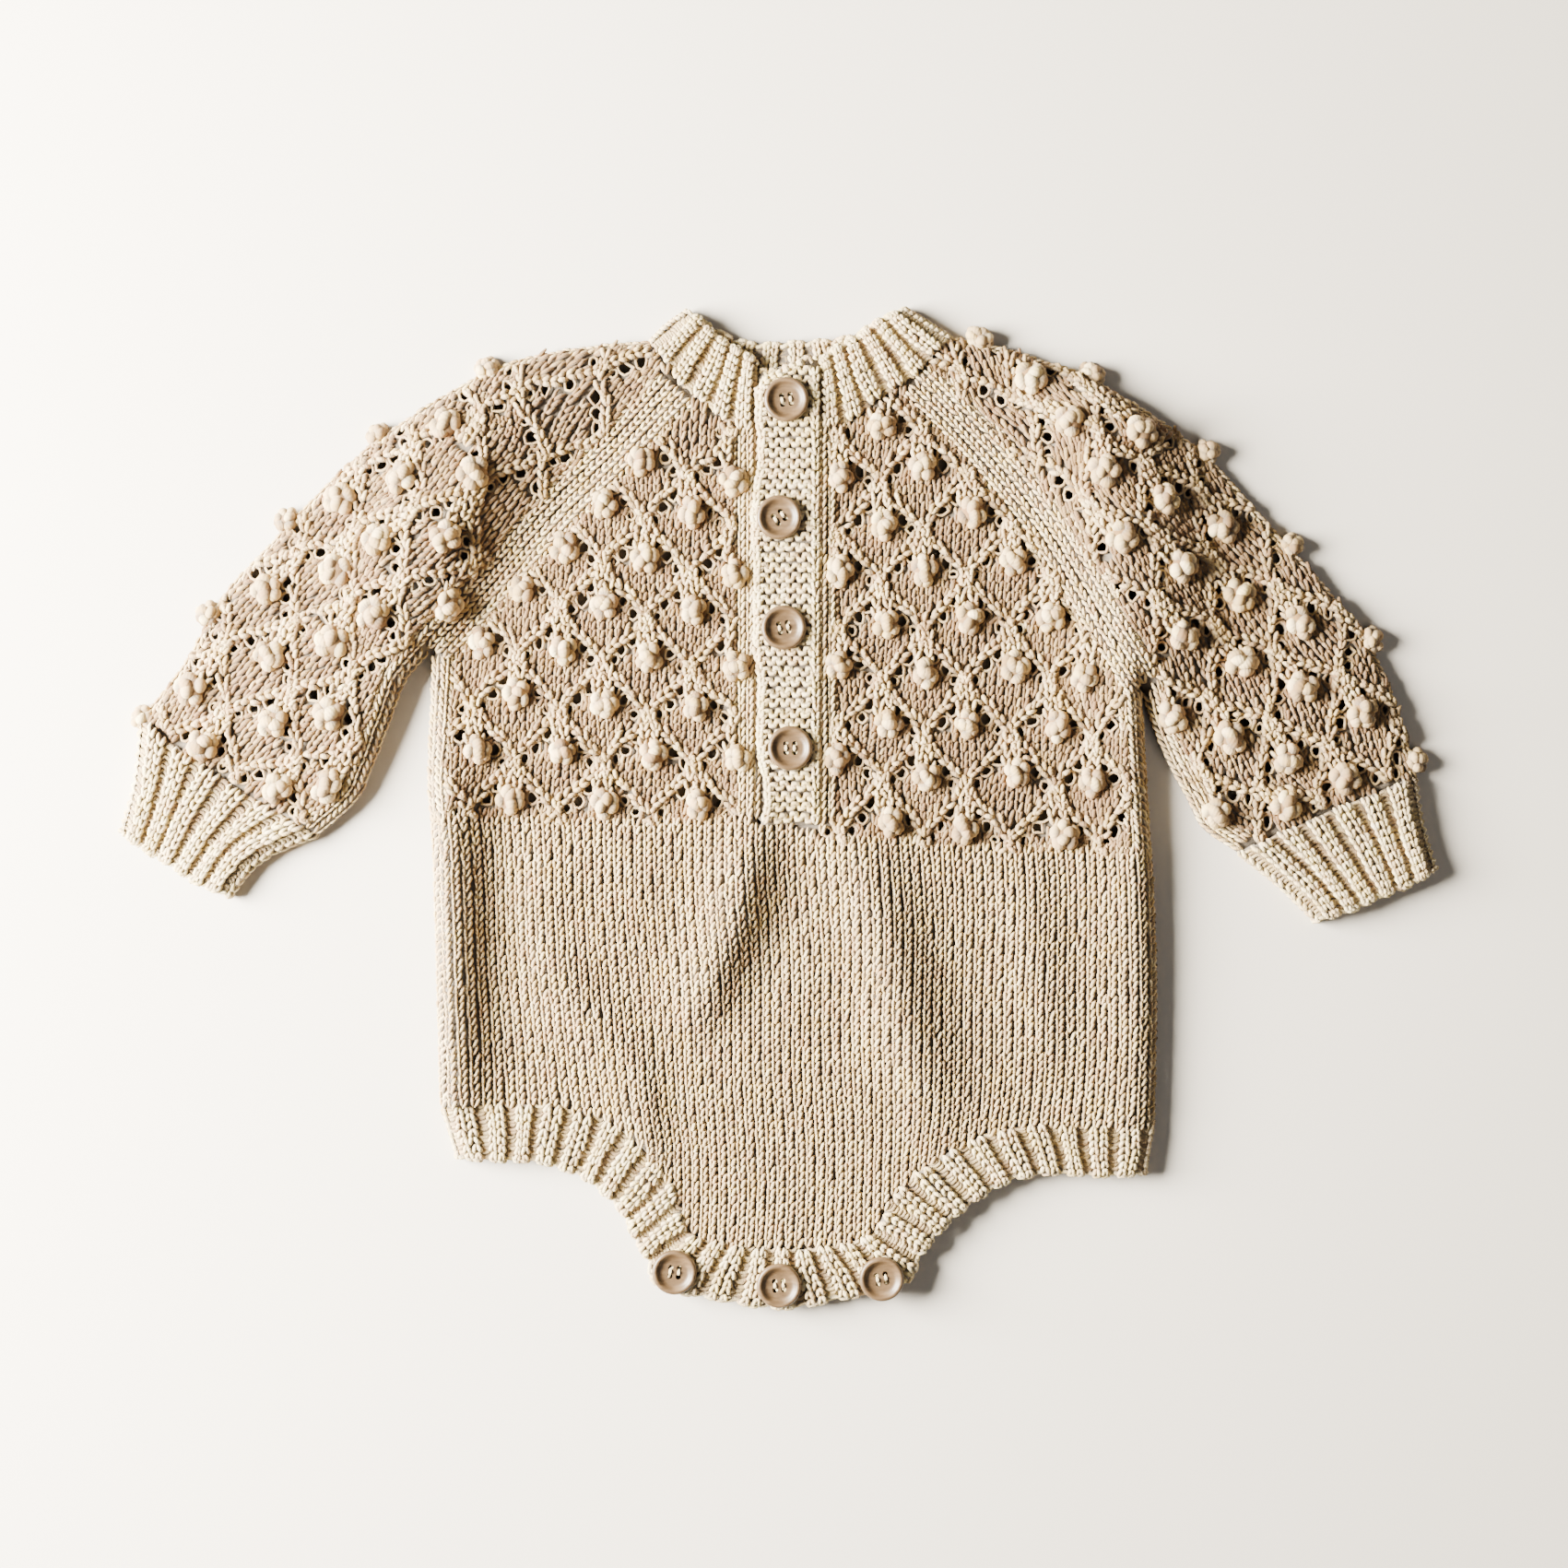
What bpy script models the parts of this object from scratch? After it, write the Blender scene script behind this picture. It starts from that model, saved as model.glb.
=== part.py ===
"""Baby romper, hand knitted, laid flat: panels, ribbed bands, placket and buttons as closed solids.

Plan sizes and tables are in millimetres: x runs across the garment, y from crotch to neck and z up
from the surface it lies on. Meshes are made in metres.
"""

import math

import bmesh
import bpy
import numpy as np
from mathutils import Vector
from mathutils.geometry import delaunay_2d_cdt

MM = 0.001

WALL = 2.6  # knitted fabric
LAYER_GAP = 1.2  # between the back layer and the front layer
SEAM_GAP = 0.34  # between two pieces sewn edge to edge
MIDDLE = WALL + LAYER_GAP / 2  # height of the side folds
FRONT_INSIDE = WALL + LAYER_GAP
FRONT_TOP = FRONT_INSIDE + WALL
SIDE_ROUND = 7.0  # the top rounds over this far in from a side
UNDER_ROUND = 3.6
INNER_ROUND = 4.0
FOLD_WALL = 2.0  # measured across, from a side fold to the room inside it
DEEPEST_TROUGH = 0.7  # of the front's inner surface, which stays clear of the back
SIDE_STEP = 8.0  # between the places worked out down a side
FRONT_GRID, BACK_GRID, INNER_GRID = 17.0, 34.0, 30.0  # between a panel's other points
SLEEVE_GRID, SLEEVE_BACK_GRID, SLEEVE_INNER_GRID = 14.0, 30.0, 24.0
SLEEVE_PUFF = 2.0  # a sleeve stands this much fuller along its middle
PUFF_REACH = 42.0  # from its open ends
PUFF_FADE = 24.0  # from its folds

BOBBLE_RADIUS = 5.3
BOBBLE_RISE = 5.6
BOBBLE_SIDES = 6
BOBBLE_RINGS = (1.0, 0.74)  # of its radius
RING_APART = 1.2  # least distance between its points
BOBBLE_CLEAR = 2.6  # other points keep this far from its foot

RIB_RISE = 1.1
LEG_RIBS, CUFF_RIBS, CROTCH_RIBS, NECK_RIBS = 10, 8, 9, (5, 6)  # on the front layer of each band
BAND_GAP = 0.26  # from a band to its seam line, a little over half the gap because it is faceted
EDGE_ROUND = 1.2  # cast-off edges
PLAIN_STEP = 5.0  # between the places worked out along a band's flat layer

PLACKET_WALL = 2.4
PLACKET_LIFT = 0.3  # also of a button over the cloth it is sewn to
PLACKET_X = (-7.9, 15.1)
PLACKET_FOOT = -5.8
PLACKET_HEAD = 173.4
PLACKET_CORNER = 6.0
PLACKET_LAP, PLACKET_FOOT_LAP, PLACKET_HEAD_LAP = 1.1, 0.6, 1.0  # of the upper band over the lower
PLACKET_EDGE, PLACKET_EDGE_REACH = 0.62, 3.0  # share of its thickness left at its edge
PLACKET_STEP, PLACKET_UNDER_STEP = 12.0, 18.0
SLOT_TOP = 147.0

BUTTON_RADIUS = 8.7
BUTTON_THICK = 3.0
BUTTON_HOLE = 0.85
BUTTON_HOLE_PITCH = 3.1
BUTTON_STEPS = 20
BUTTON_PROFILE = [  # in from the rim (None at the axis), share of the thickness
    (None, 0.55), (3.6, 0.55), (2.5, 0.8), (1.5, 1.0), (0.5, 0.86), (0, 0.5), (0.9, 0.12), (3.0, 0),
    (None, 0),
]

YARN_COLOUR = (0.72, 0.58, 0.42, 1)
BAND_COLOUR = (0.78, 0.65, 0.49, 1)
BUTTON_COLOUR = (0.42, 0.29, 0.19, 1)

# Each seam or edge of the plan, as (x, y) on its line.
SEAMS = {
    "left_side": [(-134.6, 62), (-135.4, 40), (-136.4, 9.7), (-134.6, -12), (-133, -62), (-131.5, -117)],
    "left_leg": [(-131.5, -117), (-111, -115.6), (-90, -116.2), (-69.5, -121), (-57, -129),
                 (-49, -136.6), (-42.5, -145.4), (-38.4, -156), (-35.6, -166)],
    "crotch": [(-35.6, -166), (-18, -170.6), (0.6, -172.2), (20, -171.2), (38, -166)],
    "right_leg": [(38, -166), (41.5, -157.6), (47.5, -149), (56, -141), (69, -132.8), (84, -126.6),
                  (99, -124), (120, -124), (146.6, -124.8)],
    "right_side": [(146.6, -124.8), (147.4, -80), (146.8, -44), (143.6, 9.7), (141.2, 48)],
    "right_raglan": [(141.2, 48), (130, 66), (117, 89), (101.4, 114), (78.6, 142), (52.8, 168.6)],
    "right_neck": [(52.8, 168.6), (40, 160.4), (27, 151.2), (15.4, 147)],
    "left_neck": [(-8.2, 147), (-16, 149.4), (-25.6, 155.4), (-38.4, 166.2)],
    "left_raglan": [(-38.4, 166.2), (-63, 140), (-87, 116), (-107, 93), (-123, 75), (-134.6, 62)],
    "back_neck": [(52.8, 168.6), (38, 160.4), (2.6, 156.6), (-25, 160), (-38.4, 166.2)],
    "left_sleeve_head": [(-50, 182.8), (-38.4, 166.2)],
    "left_sleeve_top": [(-50, 182.8), (-74, 181.6), (-114, 173.8), (-157, 147), (-193.6, 113.2),
                        (-226, 79), (-249.6, 36)],
    "left_cuff_join": [(-249.6, 36), (-232, 22), (-208, 6), (-179.6, -10.4)],
    "left_sleeve_under": [(-179.6, -10.4), (-165, 2.6), (-158.6, 15), (-150.6, 36), (-145, 50), (-134.6, 62)],
    "right_sleeve_head": [(67.8, 184), (52.8, 168.6)],
    "right_sleeve_top": [(67.8, 184), (79.6, 187.4), (106, 178), (128, 171.2), (152, 153), (182, 131),
                         (203, 110), (227, 77.6), (239, 56), (248, 34), (249.4, 12.6)],
    "right_cuff_join": [(249.4, 12.6), (228, 4), (204, -6), (179.6, -17.4)],
    "right_sleeve_under": [(179.6, -17.4), (166, -8), (160, 3), (152.6, 17), (146, 32), (141.2, 48)],
}

# Soft folds of the front: start x, y, end x, y, rise (a trough is negative), half width.
FOLDS = [
    (-35, 0, -38, -44, 1.9, 13),
    (-38, -44, -56, -92, 1.9, 14),
    (-66, -24, -72, -88, -0.9, 11),
    (31, -30, 38, -136, 2.0, 13),
    (68, -50, 76, -112, -0.9, 12),
    (-125, -14, -124, -110, -1.3, 4),
    (136, 40, 137, -118, 1.1, 5),
    (96, -20, 104, -100, 0.9, 10),
    (-92, -30, -96, -100, 0.9, 11),
]

# Bobbles of the front, in the columns of a half-drop lattice: x, y of a column's lowest bobble, the
# step to the next (x, y) and how many.
FRONT_BOBBLES = [
    (-117, 22.7, 1.4, 41.8, 2), (-104.4, 3.6, 2.3, 41, 3), (-84.2, 22, 0.5, 39.8, 3),
    (-67.7, 1.8, 0, 38.9, 4), (-48.6, 20.9, -1.6, 38.2, 4), (-31, 1.4, -0.9, 38, 4), (-15.6, 19.4, -0.6, 36, 4),
    (23, 19.1, 0.5, 36.7, 4), (44, -5.5, -0.9, 38.6, 5), (58, 12.2, -0.5, 40.3, 4), (72.6, -8.4, 1, 41.2, 4),
    (93.2, 13.7, -0.7, 41.4, 3), (111.6, -10.6, -2.6, 42.4, 3), (122.4, 10.1, -3.2, 41, 2),
]

# Bobbles of the sleeves, in the rows of their lattice: x, y of a row's first, the step to the next
# (x, y) and how many.
SLEEVE_BOBBLES = {
    "left": [
        (-128.9, 149, 11.2, -19.4, 2), (-145.8, 128.2, -9.2, -24.2, 2), (-128.4, 104.8, 0.2, -25.6, 2),
        (-156.6, 75.2, 0, 0, 1), (-170.5, 120.2, -1.2, -27.9, 5), (-199, 85, 1.5, -25.7, 4),
        (-228.8, 46.4, 4.8, -21.9, 2),
    ],
    "right": [
        (98.3, 167.4, 14.7, -17.3, 1), (113, 150.1, 27.4, -4.3, 2), (126, 130.3, 23.6, -10.4, 3),
        (132.8, 104.4, 23.5, -10.7, 4), (157, 66.6, 23.5, -9.8, 4), (153.4, 35.6, 22.4, -8, 4),
        (171, -2, 27, 3.2, 2),
    ],
}
# Bobbles that stand out past a sleeve's upper fold, as x, y.
EDGE_BOBBLES = {
    "left": [(-114, 171.6), (-156.5, 145.2), (-192.6, 112.6), (-224.6, 78), (-243.4, 46)],
    "right": [(81, 183.6), (124, 170), (168, 138.6), (200.6, 101.2), (229.6, 64), (246, 25)],
}

# Bands: the seams that each layer is joined along, with -1 for one taken backwards, and its free
# edge as (x, y). A layer runs from its own end to the fold.
BANDS = {
    "neck_right": ([("right_neck", -1), ("right_sleeve_head", -1)],
                   [(15.6, 173.4), (22, 179.4), (31, 184.4), (40, 190.4), (49.6, 195.6)]),
    "neck_left": ([("left_neck", 1), ("left_sleeve_head", -1)],
                  [(-8.4, 174.6), (-17, 180), (-24, 184.8), (-30.6, 190.4), (-35.6, 194.6)]),
    "neck_back": ([("left_sleeve_head", 1), ("back_neck", -1), ("right_sleeve_head", -1)],
                  [(-35.6, 194.6), (-27, 189), (-16, 183.4), (2.6, 182), (26, 184.6), (38, 190),
                   (49.6, 195.6)]),
    "leg_left": ([("left_leg", -1)],
                 [(-50.4, -176.4), (-56, -167), (-61, -157.6), (-68, -150), (-75.4, -143.6), (-86, -140),
                  (-97, -137.4), (-111.6, -136.8), (-125.6, -136.6)]),
    "leg_right": ([("right_leg", 1)],
                  [(55, -174.6), (61.4, -166.4), (70, -158.4), (80, -150.8), (90.6, -144.6), (102, -142.8),
                   (115, -142.4), (128, -142.8), (143.6, -142.8)]),
    "cuff_left": ([("left_cuff_join", 1)], [(-257.4, -9.6), (-244, -18.4), (-230.6, -27), (-214.6, -35)]),
    "cuff_right": ([("right_cuff_join", 1)], [(257.6, -24), (243, -31.6), (226.6, -38.6), (210.4, -44.6)]),
    "crotch": ([("crotch", 1)],
               [(-50.6, -177.4), (-46, -186), (-24, -191.4), (0.6, -194.4), (26, -191), (47, -186.4),
                (55.4, -175.4)]),
}

FRONT_BUTTONS = [(3.2, 158.8), (0.4, 113), (2.2, 70.2), (4.7, 23.4)]
CROTCH_BUTTONS = [(-40.3, -180.4), (0.4, -185.6), (40.3, -183)]


def material(name, colour, roughness):
    made = bpy.data.materials.new(name)
    made.use_nodes = True
    shader = made.node_tree.nodes["Principled BSDF"]
    shader.inputs["Base Color"].default_value = colour
    shader.inputs["Roughness"].default_value = roughness
    made.diffuse_color = colour
    return made


def curve(points, step):
    """Catmull-Rom curve through the points, sampled about every step."""
    keys = np.array(points, float)
    ends = [2 * keys[0] - keys[1], *keys, 2 * keys[-1] - keys[-2]]
    found = []
    for i in range(1, len(ends) - 2):
        a, b, c, d = ends[i - 1 : i + 3]
        parts = max(1, math.ceil(np.linalg.norm(c - b) / step))
        for t in np.arange(parts) / parts:
            square, cube = 2 * a - 5 * b + 4 * c - d, 3 * b - a - 3 * c + d
            found.append(0.5 * (2 * b + (c - a) * t + square * t**2 + cube * t**3))
    return np.array([*found, keys[-1]])


def lengths(line):
    return np.concatenate([[0], np.cumsum(np.linalg.norm(np.diff(line, axis=0), axis=1))])


def distance(points, line):
    """Distance of each point to an open line of segments."""
    points, line = np.atleast_2d(points), np.asarray(line, float)
    best = np.full(len(points), np.inf)
    for a, b in zip(line[:-1], line[1:]):
        along = np.clip((points - a) @ (b - a) / max((b - a) @ (b - a), 1e-9), 0, 1)
        best = np.minimum(best, np.linalg.norm(points - a - along[:, None] * (b - a), axis=1))
    return best


def inside(points, outline):
    points = np.atleast_2d(points)
    found = np.zeros(len(points), bool)
    for a, b in zip(outline, np.roll(outline, -1, axis=0)):
        crosses = (a[1] > points[:, 1]) != (b[1] > points[:, 1])
        if a[1] != b[1]:
            found ^= crosses & (points[:, 0] < (b[0] - a[0]) * (points[:, 1] - a[1]) / (b[1] - a[1]) + a[0])
    return found


def thinned(line, error):
    """The line with the points left out that lie within error of a straight run."""
    if len(line) < 3:
        return line
    off = distance(line[1:-1], line[[0, -1]])
    worst = int(off.argmax()) + 1
    if off.max() < error:
        return line[[0, -1]]
    return np.concatenate([thinned(line[: worst + 1], error)[:-1], thinned(line[worst:], error)])


def shrunk(outline, by):
    """A closed outline, anticlockwise, moved in by this much."""
    before, after = np.roll(outline, 1, axis=0), np.roll(outline, -1, axis=0)
    into = (outline - before) / np.linalg.norm(outline - before, axis=1)[:, None]
    out_of = (after - outline) / np.linalg.norm(after - outline, axis=1)[:, None]
    normal = np.stack([-(into + out_of)[:, 1], (into + out_of)[:, 0]], axis=1)
    normal /= np.linalg.norm(normal, axis=1)[:, None]
    corner = np.maximum(0.5, normal[:, 1] * into[:, 0] - normal[:, 0] * into[:, 1])
    return outline + normal * (by / corner)[:, None]


def edge(name, reverse=False, error=0.07):
    line = thinned(curve(SEAMS[name], 2.0), error)
    return line[::-1] if reverse else line


def side_fold(name):
    return curve(SEAMS[name], SIDE_STEP)


def upper_fold(side):
    """A sleeve's upper fold, pushed out round the bobbles that stand past it."""
    line = curve(SEAMS[f"{side}_sleeve_top"], 1.2)
    for centre in np.array(EDGE_BOBBLES[side]):
        away = line - centre
        near = np.linalg.norm(away, axis=1)
        normal = np.array([-1.0 if side == "left" else 1.0, 1.0]) / math.sqrt(2)
        reach = np.sqrt(np.maximum(0, BOBBLE_RADIUS**2 - near**2))
        line = line + normal * np.maximum(0, reach - 1.0)[:, None]
    return thinned(line, 0.3)


def joined(*lines):
    """A closed outline of lines that meet end to end, each ending point given once."""
    return np.concatenate([line[:-1] for line in lines])


def fold_rise(points):
    points = np.atleast_2d(points)
    rise = np.zeros(len(points))
    for x0, y0, x1, y1, height, half_width in FOLDS:
        rise += height * np.exp(-((distance(points, [(x0, y0), (x1, y1)]) / half_width) ** 2))
    return rise


def rounded(off, reach):
    """0 at an edge, rising as a quarter circle to 1 at this reach."""
    return np.sqrt(1 - (1 - np.clip(off / reach, 0, 1)) ** 2)


def bobble_columns(table):
    return np.array([(x + dx * i, y + dy * i) for x, y, dx, dy, count in table for i in range(count)])


def dome(points, centres):
    """Rise of the bobbles at each point."""
    points = np.atleast_2d(points)
    if not len(centres):
        return np.zeros(len(points))
    off = np.linalg.norm(points[:, None] - centres[None], axis=2).min(axis=1) / BOBBLE_RADIUS
    return BOBBLE_RISE * np.sqrt(np.clip(1 - off**2, 0, 1)) ** 0.8


def bobble_points(centres):
    rings = []
    for radius in BOBBLE_RINGS:
        angle = np.arange(BOBBLE_SIDES) * 2 * math.pi / BOBBLE_SIDES
        ring = np.stack([np.cos(angle), np.sin(angle)], axis=1) * radius * BOBBLE_RADIUS
        rings.append((centres[:, None] + ring[None]).reshape(-1, 2))
    return np.concatenate([centres, *rings])


def grid_group(outline, step):
    """A group for spread: points in offset rows over the outline's box, kept half a step from others."""
    low, high = outline.min(axis=0), outline.max(axis=0)
    xs = np.arange(low[0] + step / 2, high[0], step)
    ys = np.arange(low[1] + step / 2, high[1], step)
    found = [(x + (step / 2 if j % 2 else 0), y) for j, y in enumerate(ys) for x in xs]
    return np.array(found), step / 2


def beside(line, off):
    """Points beside a line, this far to its left, about one for each of its own."""
    way = np.gradient(line, axis=0)
    way /= np.linalg.norm(way, axis=1)[:, None]
    return line + np.stack([-way[:, 1], way[:, 0]], axis=1) * off


def spread(outline, groups, bobbles=()):
    """Points of the groups inside the outline, dropping any too near the outline or an earlier point.

    A group is its points and how far they keep apart. Round each bobble only its own two rings are
    kept, so that every dome meets the cloth cleanly."""
    closed = np.vstack([outline, outline[:1]])
    kept = np.empty((0, 2))
    if len(bobbles):
        clear = [(clear_of(points, bobbles), apart) for points, apart in groups]
        groups = [(bobble_points(bobbles), RING_APART), *clear]
    for points, apart in groups:
        points = points[inside(points, outline)]
        points = points[distance(points, closed) > apart * 0.45] if len(points) else points
        for point in points:
            if not len(kept) or np.linalg.norm(kept - point, axis=1).min() > apart:
                kept = np.vstack([kept, point])
    return kept


def clear_of(points, bobbles):
    off = np.linalg.norm(points[:, None] - bobbles[None], axis=2).min(axis=1)
    return points[off > BOBBLE_RADIUS + BOBBLE_CLEAR]


def ring_edges(points, bobbles):
    """Pairs of neighbouring points on each bobble's outer ring, which triangles may not cross."""
    pairs = []
    step = 2 * math.pi / BOBBLE_SIDES
    for centre in bobbles:
        off = points - centre
        on_ring = np.flatnonzero(abs(np.linalg.norm(off, axis=1) - BOBBLE_RADIUS) < 0.01)
        slot = {int(round(math.atan2(off[i, 1], off[i, 0]) / step)) % BOBBLE_SIDES: int(i) for i in on_ring}
        following = {k: slot.get((k + 1) % BOBBLE_SIDES) for k in slot}
        pairs += [(slot[k], after) for k, after in following.items() if after is not None]
    return pairs


def triangulated(outline, points, bobbles=()):
    """Triangles over the outline's points, then the inner ones."""
    count = len(outline)
    flat = [Vector(p) for p in [*outline, *points]]
    rings = [(i + count, j + count) for i, j in ring_edges(points, bobbles)]
    _, _, faces, origins, _, _ = delaunay_2d_cdt(flat, rings, [list(range(count))], 1, 1e-4)
    index = [source[0] for source in origins]
    return [[index[v] for v in face] for face in faces if len(face) == 3]


def new_object(name, points, faces, finish):
    shape = bmesh.new()
    verts = [shape.verts.new(Vector(p) * MM) for p in points]
    for face in faces:
        shape.faces.new([verts[v] for v in face])
    bmesh.ops.recalc_face_normals(shape, faces=shape.faces[:])
    if shape.calc_volume(signed=True) < 0:
        bmesh.ops.reverse_faces(shape, faces=shape.faces[:])
    mesh = bpy.data.meshes.new(name)
    shape.to_mesh(mesh)
    shape.free()
    mesh.materials.append(finish)
    mesh.shade_smooth()
    mesh.set_sharp_from_angle(angle=math.radians(50))
    made = bpy.data.objects.new(name, mesh)
    parts.objects.link(made)
    return made


def with_height(points, heights):
    return np.column_stack([points, heights])


def wall(name, outline, outer_points, inner_points, outer_height, inner_height, finish, bobbles=()):
    """A panel: an outer relief and a plain inner surface over one outline, closed round its edge."""
    count = len(outline)
    outer, inner = np.vstack([outline, outer_points]), np.vstack([outline, inner_points])
    faces = triangulated(outline, outer_points, bobbles)
    faces += [[v + len(outer) for v in face] for face in triangulated(outline, inner_points)]
    for i in range(count):
        after = (i + 1) % count
        faces.append([i, after, after + len(outer), i + len(outer)])
    points = np.vstack([with_height(outer, outer_height(outer)), with_height(inner, inner_height(inner))])
    return new_object(name, points, faces, finish)


def side_lines():
    return [curve(SEAMS["left_side"], 4.0), curve(SEAMS["right_side"], 4.0)]


def off_sides(points):
    return np.minimum(*(distance(points, line) for line in side_lines()))


def front_top(points):
    """Height of the front's outer surface, without bobbles."""
    side = MIDDLE + SEAM_GAP / 2
    full = FRONT_TOP + fold_rise(points)
    return side + (full - side) * rounded(off_sides(points) - SEAM_GAP / 2, SIDE_ROUND)


def front_under(points):
    side = MIDDLE + SEAM_GAP / 2
    full = FRONT_INSIDE + np.maximum(fold_rise(points), -DEEPEST_TROUGH)
    return side + (full - side) * rounded(off_sides(points) - FOLD_WALL, SIDE_ROUND)


def fold_points():
    found = []
    for x0, y0, x1, y1, _, half_width in FOLDS:
        line = curve([(x0, y0), (x1, y1)], 17)
        found += [line, beside(line, 1.3 * half_width), beside(line, -1.3 * half_width)]
    return np.concatenate(found)


def side_points(offs):
    lines = side_fold("left_side"), side_fold("right_side")
    return np.concatenate([beside(line, off) for line in lines for off in offs])


def make_front():
    low, high = PLACKET_X
    slot = np.array([(low, SLOT_TOP), (low, PLACKET_FOOT), (high, PLACKET_FOOT), (high, SLOT_TOP)])
    outline = joined(
        side_fold("left_side"), edge("left_leg"), edge("crotch"), edge("right_leg"), side_fold("right_side"),
        edge("right_raglan"), edge("right_neck"), slot[::-1], edge("left_neck"), edge("left_raglan"),
    )
    outline = shrunk(outline, SEAM_GAP / 2)
    bobbles = bobble_columns(FRONT_BOBBLES)
    groups = [
        (side_points((1.2, 3.2, SIDE_ROUND)), 1.5), (fold_points(), 4.5), grid_group(outline, FRONT_GRID),
    ]
    inner = [
        (side_points((2.4, FOLD_WALL + SIDE_ROUND)), 3), (fold_points(), 9), grid_group(outline, INNER_GRID),
    ]
    return wall(
        "front", outline, spread(outline, groups, bobbles), spread(outline, inner),
        lambda p: front_top(p) + dome(p, bobbles), front_under, yarn, bobbles,
    )


def make_back():
    outline = joined(
        side_fold("left_side"), edge("left_leg"), edge("crotch"), edge("right_leg"), side_fold("right_side"),
        edge("right_raglan"), edge("back_neck"), edge("left_raglan"),
    )
    outline = shrunk(outline, SEAM_GAP / 2)
    side = MIDDLE - SEAM_GAP / 2
    under = [(side_points((1.0, UNDER_ROUND)), 1), grid_group(outline, BACK_GRID)]
    upper = [(side_points((2.4, FOLD_WALL + INNER_ROUND)), 2), grid_group(outline, BACK_GRID)]
    return wall(
        "back", outline, spread(outline, under), spread(outline, upper),
        lambda p: side * (1 - rounded(off_sides(p) - SEAM_GAP / 2, UNDER_ROUND)),
        lambda p: side + (WALL - side) * rounded(off_sides(p) - FOLD_WALL, INNER_ROUND), yarn,
    )


def squeezed(line, margin):
    """The line with its points drawn together so that it starts and ends this far in."""
    own = lengths(line)
    at = margin + own * (1 - 2 * margin / own[-1])
    return np.column_stack([np.interp(at, own, line[:, column]) for column in (0, 1)])


def with_ears(outline, points, shared, bobbles=()):
    """The points, and one in each triangle that would lie wholly on a fold and so have no depth."""
    on_fold = set(shared)
    ears = [face for face in triangulated(outline, points, bobbles) if on_fold.issuperset(face)]
    if not ears:
        return points
    return np.vstack([points, [outline[face].mean(axis=0) for face in ears]])


def bag(folds, opens, upper_points, lower_points, height, under_height, bobbles=()):
    """An upper and a lower surface over one outline, joined along its two folds and open between.

    The outline runs fold, open edge, fold, open edge. It gives the points, the faces and, for each
    open edge, the numbers of its upper points and of its lower ones."""
    outline = joined(folds[0], opens[0], folds[1], opens[1])
    starts = np.cumsum([0] + [len(line) - 1 for line in (folds[0], opens[0], folds[1], opens[1])])
    parted = [*range(starts[1] + 1, starts[2]), *range(starts[3] + 1, starts[4])]
    shared = [i for i in range(len(outline)) if i not in parted]
    upper_points = with_ears(outline, upper_points, shared, bobbles)
    lower_points = with_ears(outline, lower_points, shared)
    upper, lower = np.vstack([outline, upper_points]), np.vstack([outline, lower_points])
    top, low = with_height(upper, height(upper)), with_height(lower, under_height(lower))
    top[shared, 2] = MIDDLE
    place = {i: i for i in shared}
    own = [i for i in range(len(low)) if i not in place]
    place.update({i: len(top) + n for n, i in enumerate(own)})
    faces = triangulated(outline, upper_points, bobbles)
    faces += [[place[v] for v in face] for face in triangulated(outline, lower_points)]
    ends = []
    for first, last in ((starts[1], starts[2]), (starts[3], starts[4])):
        ring = [i % len(outline) for i in range(first, last + 1)]
        ends.append((ring, [place[i] for i in ring]))
    return np.vstack([top, low[own]]), faces, ends


def sleeve_edges(side):
    """The folds and open edges of a sleeve, anticlockwise, drawn in by half a seam's gap."""
    top, under = upper_fold(side), edge(f"{side}_sleeve_under")
    cuff, raglan, head = edge(f"{side}_cuff_join"), edge(f"{side}_raglan"), edge(f"{side}_sleeve_head")
    if side == "left":
        lines = [top, cuff, under, np.concatenate([raglan[::-1][:-1], head[::-1]])]
    else:
        lines = [under[::-1], cuff[::-1], top[::-1], np.concatenate([head[:-1], raglan[::-1]])]
    outline = shrunk(joined(*lines), SEAM_GAP / 2)
    ring = np.vstack([outline, outline[:1]])
    at = np.cumsum([0] + [len(line) - 1 for line in lines])
    lines = [ring[a : b + 1] for a, b in zip(at[:-1], at[1:])]
    return (lines[0], lines[2]), (lines[1], lines[3])


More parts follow.
